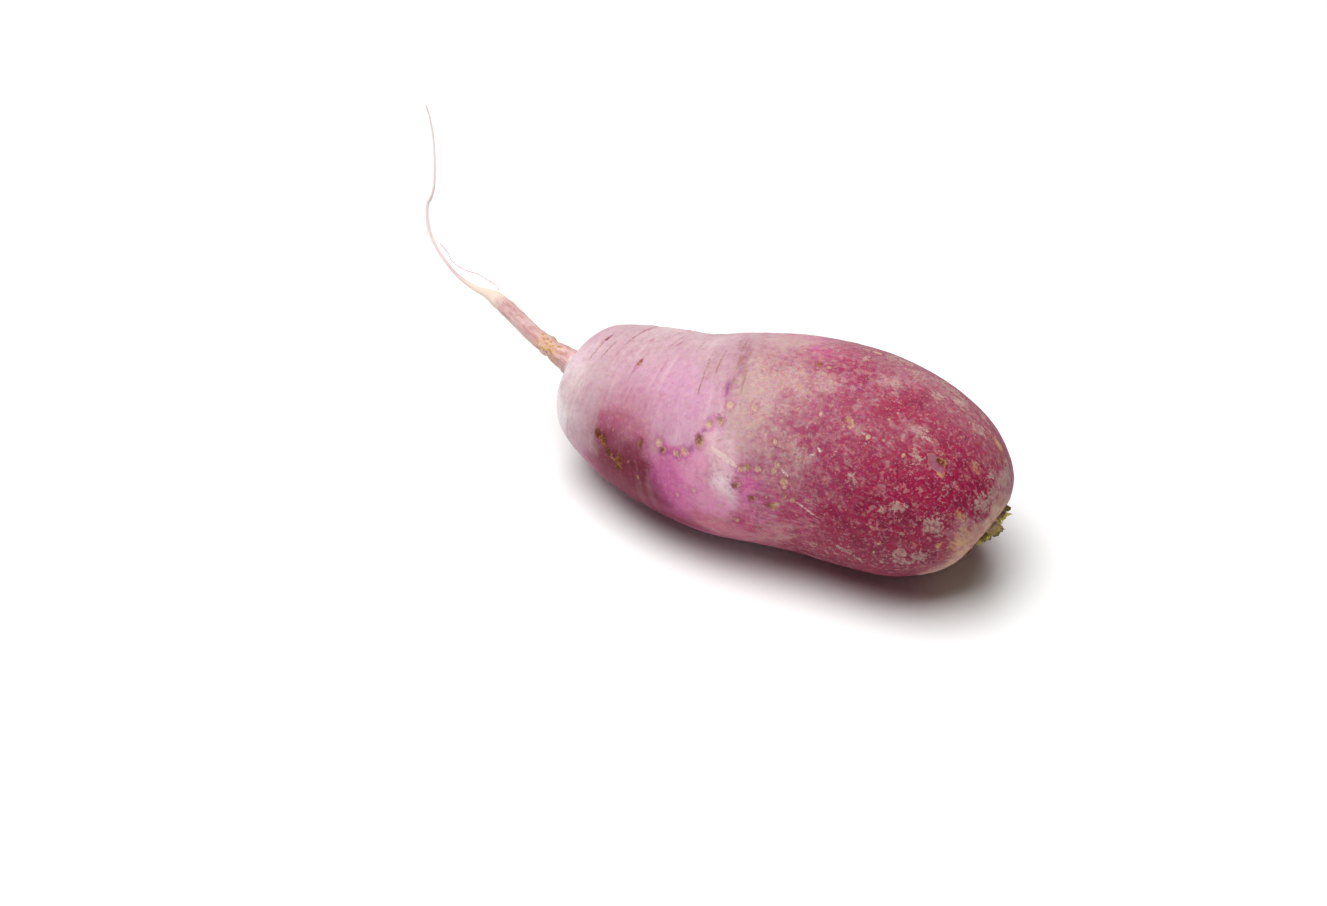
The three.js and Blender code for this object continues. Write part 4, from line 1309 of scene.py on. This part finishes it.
class RadishTones(bpy.types.PropertyGroup):
    """Colours of the radish."""

    pale: tone("Pale skin", "Skin near the tap root", (0.50, 0.325, 0.37))
    # The cream in the bands on the pale half is partly painted light on the raised crests of the wrinkles.
    cream: tone("Cream skin", "Bleached skin at the tap-root end and in bands", (0.66, 0.51, 0.51))
    bleached: tone("Bleached skin", "Whitest skin, where the tap root joins", (0.97, 0.92, 0.93))
    shell: tone("Shell pink", "Bleached pink before the rose half", (0.70, 0.42, 0.49))
    lilac: tone("Lilac skin", "Cooler clouds in the pale skin", (0.55, 0.27, 0.41))
    pink: tone("Pink skin", "Warm pink round the dark blotch", (0.45, 0.195, 0.275))
    # The dark blotch near the tap-root end, laid in maroon, plum and the blotch tone, is partly the skin's
    # own dark crimson and partly painted cast shadow.
    maroon: tone("Maroon", "Edge of the dark blotch", (0.355, 0.095, 0.15))
    plum: tone("Plum", "Browner parts of the blotch", (0.201, 0.0175, 0.054))
    blotch_and_shade: tone("Blotch", "Dark crimson blotch near the tap-root end", (0.15, 0.002, 0.022))
    violet: tone("Violet skin", "Violet patch on the front", (0.345, 0.03, 0.17))
    bruise: tone("Bruise", "Dark violet marks beside the scars", (0.28, 0.06, 0.21))
    orchid: tone("Orchid", "Purplish pink beside the violet patch", (0.57, 0.125, 0.325))
    blush: tone("Blush", "Lightest pink patch on the front", (0.70, 0.27, 0.44))
    salmon: tone("Salmon", "Warm pink on the lower side", (0.49, 0.145, 0.20))
    magenta: tone("Magenta", "Magenta along the lower side", (0.42, 0.05, 0.135))
    dusk: tone("Dusk", "Dull pink before the rose half", (0.41, 0.23, 0.265))
    # Painted shade: darker colour in the troughs of the wrinkle bands and along a few wrinkles.
    wrinkle_shade: tone("Mauve", "Dull bands in the wrinkled skin", (0.30, 0.13, 0.17))
    old_rose: tone("Old rose", "Start of the rose half", (0.36, 0.135, 0.18))
    wine: tone("Wine", "Middle of the rose half", (0.275, 0.035, 0.092))
    deep: tone("Deep crimson", "Darkest spots of the crimson skin", (0.15, 0.003, 0.03))
    crimson: tone("Crimson", "Deepest skin near the crown", (0.25, 0.005, 0.042))
    film: tone("Film", "Tan film over the rose skin", (0.39, 0.185, 0.205))
    sand: tone("Sand", "Sandy parts of the film", (0.47, 0.31, 0.28))
    fleck: tone("Flecks", "Light flecks and veils on the rose skin", (0.49, 0.23, 0.24))
    cork: tone("Cork", "Grey-tan islands of corky skin", (0.36, 0.215, 0.185))
    straw: tone("Straw", "Yellow-brown streaks near the crown", (0.60, 0.36, 0.15))
    rim: tone("Rim", "Bleached beige skin round the crown", (0.58, 0.37, 0.25))
    bare: tone("Peeled skin", "Mauve flesh where the skin has peeled", (0.27, 0.12, 0.17))
    crease: tone("Creases", "Fine lines round the root", (0.30, 0.15, 0.12))
    scar: tone("Scar", "Golden brown of the darker scars", (0.37, 0.18, 0.055))
    pit: tone("Scar pit", "Brown pits of the scars", (0.11, 0.017, 0.003))
    edge: tone("Scar edge", "Multiplies the skin round a scar", (0.82, 0.42, 0.72))
    speck: tone("Specks", "Cream dots and the paler scars", (0.58, 0.41, 0.26))
    scratch: tone("Scratches", "Pale scratches", (0.74, 0.58, 0.52))
    tap: tone("Tap root", "Pinkish tan of the tap root", (0.62, 0.40, 0.38))
    tap_dark: tone("Tap root streaks", "Darker lengthwise streaks", (0.47, 0.25, 0.24))
    # Also laid on the lower side of the tap root, where it is partly painted light.
    sheath: tone("Torn sheath", "Cream end of the thick tap root", (0.82, 0.66, 0.54))
    thread: tone("Thread", "The thread beyond it", (0.74, 0.56, 0.55))
    side_root: tone("Side root", "The fine side root", (0.80, 0.72, 0.78))
    stalk: tone("Stalk", "Olive leaf stalks", (0.47, 0.33, 0.10))
    stalk_dark: tone("Stalk fibres", "Darker fibres of the stalks", (0.09, 0.05, 0.022))
    stalk_base: tone("Stalk base", "Pinkish-tan foot of the stalks", (0.56, 0.37, 0.27))
    stalk_tip: tone("Stalk tips", "Yellow-green torn tips", (0.76, 0.66, 0.13))
    stalk_dry: tone("Dry tips", "Dark dry tips", (0.05, 0.025, 0.018))


class RadishStudio(bpy.types.PropertyGroup):
    """Light, floor and lens."""

    floor: tone("Floor", "Colour of the floor", (0.93, 0.93, 0.93))
    key: FloatProperty(
        name="Key light", description="Power of the light overhead", default=20.4, unit="POWER")
    sky: FloatProperty(name="Even fill", description="Strength of the light from all round", default=0.06)
    lens: FloatProperty(name="Lens", description="Focal length of the camera in millimetres", default=85)


class RADISH_OT_root(bpy.types.Operator):
    """Builds the skin of the swollen root and the tap root"""

    bl_idname = "radish.root"
    bl_label = "Root"

    def execute(self, context):
        make_root(context.scene.radish_sizes, context.scene.radish_tones)
        return {"FINISHED"}


class RADISH_OT_side_root(bpy.types.Operator):
    """Builds the fine side root beside the tap root"""

    bl_idname = "radish.side_root"
    bl_label = "Side root"

    def execute(self, context):
        make_side_root(context.scene.radish_tones)
        return {"FINISHED"}


class RADISH_OT_leaf_stubs(bpy.types.Operator):
    """Builds the torn leaf-stalk stubs on the crown"""

    bl_idname = "radish.leaf_stubs"
    bl_label = "Leaf-stalk stubs"

    def execute(self, context):
        material = leaf_stalk_finish(context.scene.radish_tones)
        for index in range(len(STUB_HEIGHTS)):
            make_stub(index, material)
        return {"FINISHED"}


class RADISH_OT_heart_bud(bpy.types.Operator):
    """Builds the heart bud in the middle of the crown"""

    bl_idname = "radish.heart_bud"
    bl_label = "Heart bud"

    def execute(self, context):
        make_heart_bud(context.scene.radish_tones)
        return {"FINISHED"}


class RADISH_OT_studio(bpy.types.Operator):
    """Builds the floor, the light and the camera"""

    bl_idname = "radish.studio"
    bl_label = "Studio"

    def execute(self, context):
        make_studio(context.scene.radish_studio)
        return {"FINISHED"}


class RADISH_PT_panel(bpy.types.Panel):
    """Settings and building steps of the radish"""

    bl_idname = "RADISH_PT_panel"
    bl_label = "Radish"
    bl_space_type = "VIEW_3D"
    bl_region_type = "UI"
    bl_category = "Radish"

    def draw(self, context):
        for group in ("radish_sizes", "radish_tones", "radish_studio"):
            box = self.layout.box()
            settings = getattr(context.scene, group)
            for name in type(settings).__annotations__:
                box.prop(settings, name)
        for operator in STEPS:
            self.layout.operator(operator.bl_idname)


GROUPS = {"radish_sizes": RadishSizes, "radish_tones": RadishTones, "radish_studio": RadishStudio}
STEPS = [RADISH_OT_studio, RADISH_OT_root, RADISH_OT_side_root, RADISH_OT_leaf_stubs, RADISH_OT_heart_bud]


def register():
    """Makes the settings, operators and panel known to Blender."""
    for cls in [*GROUPS.values(), *STEPS, RADISH_PT_panel]:
        bpy.utils.register_class(cls)
    for name, group in GROUPS.items():
        setattr(bpy.types.Scene, name, PointerProperty(type=group))


def unregister():
    """Takes them back."""
    for name in GROUPS:
        delattr(bpy.types.Scene, name)
    for cls in reversed([*GROUPS.values(), *STEPS, RADISH_PT_panel]):
        bpy.utils.unregister_class(cls)


def main():
    """Builds everything in order."""
    register()
    for name in ("studio", "root", "side_root", "leaf_stubs", "heart_bud"):
        getattr(bpy.ops.radish, name)()


if __name__ == "__main__":
    main()
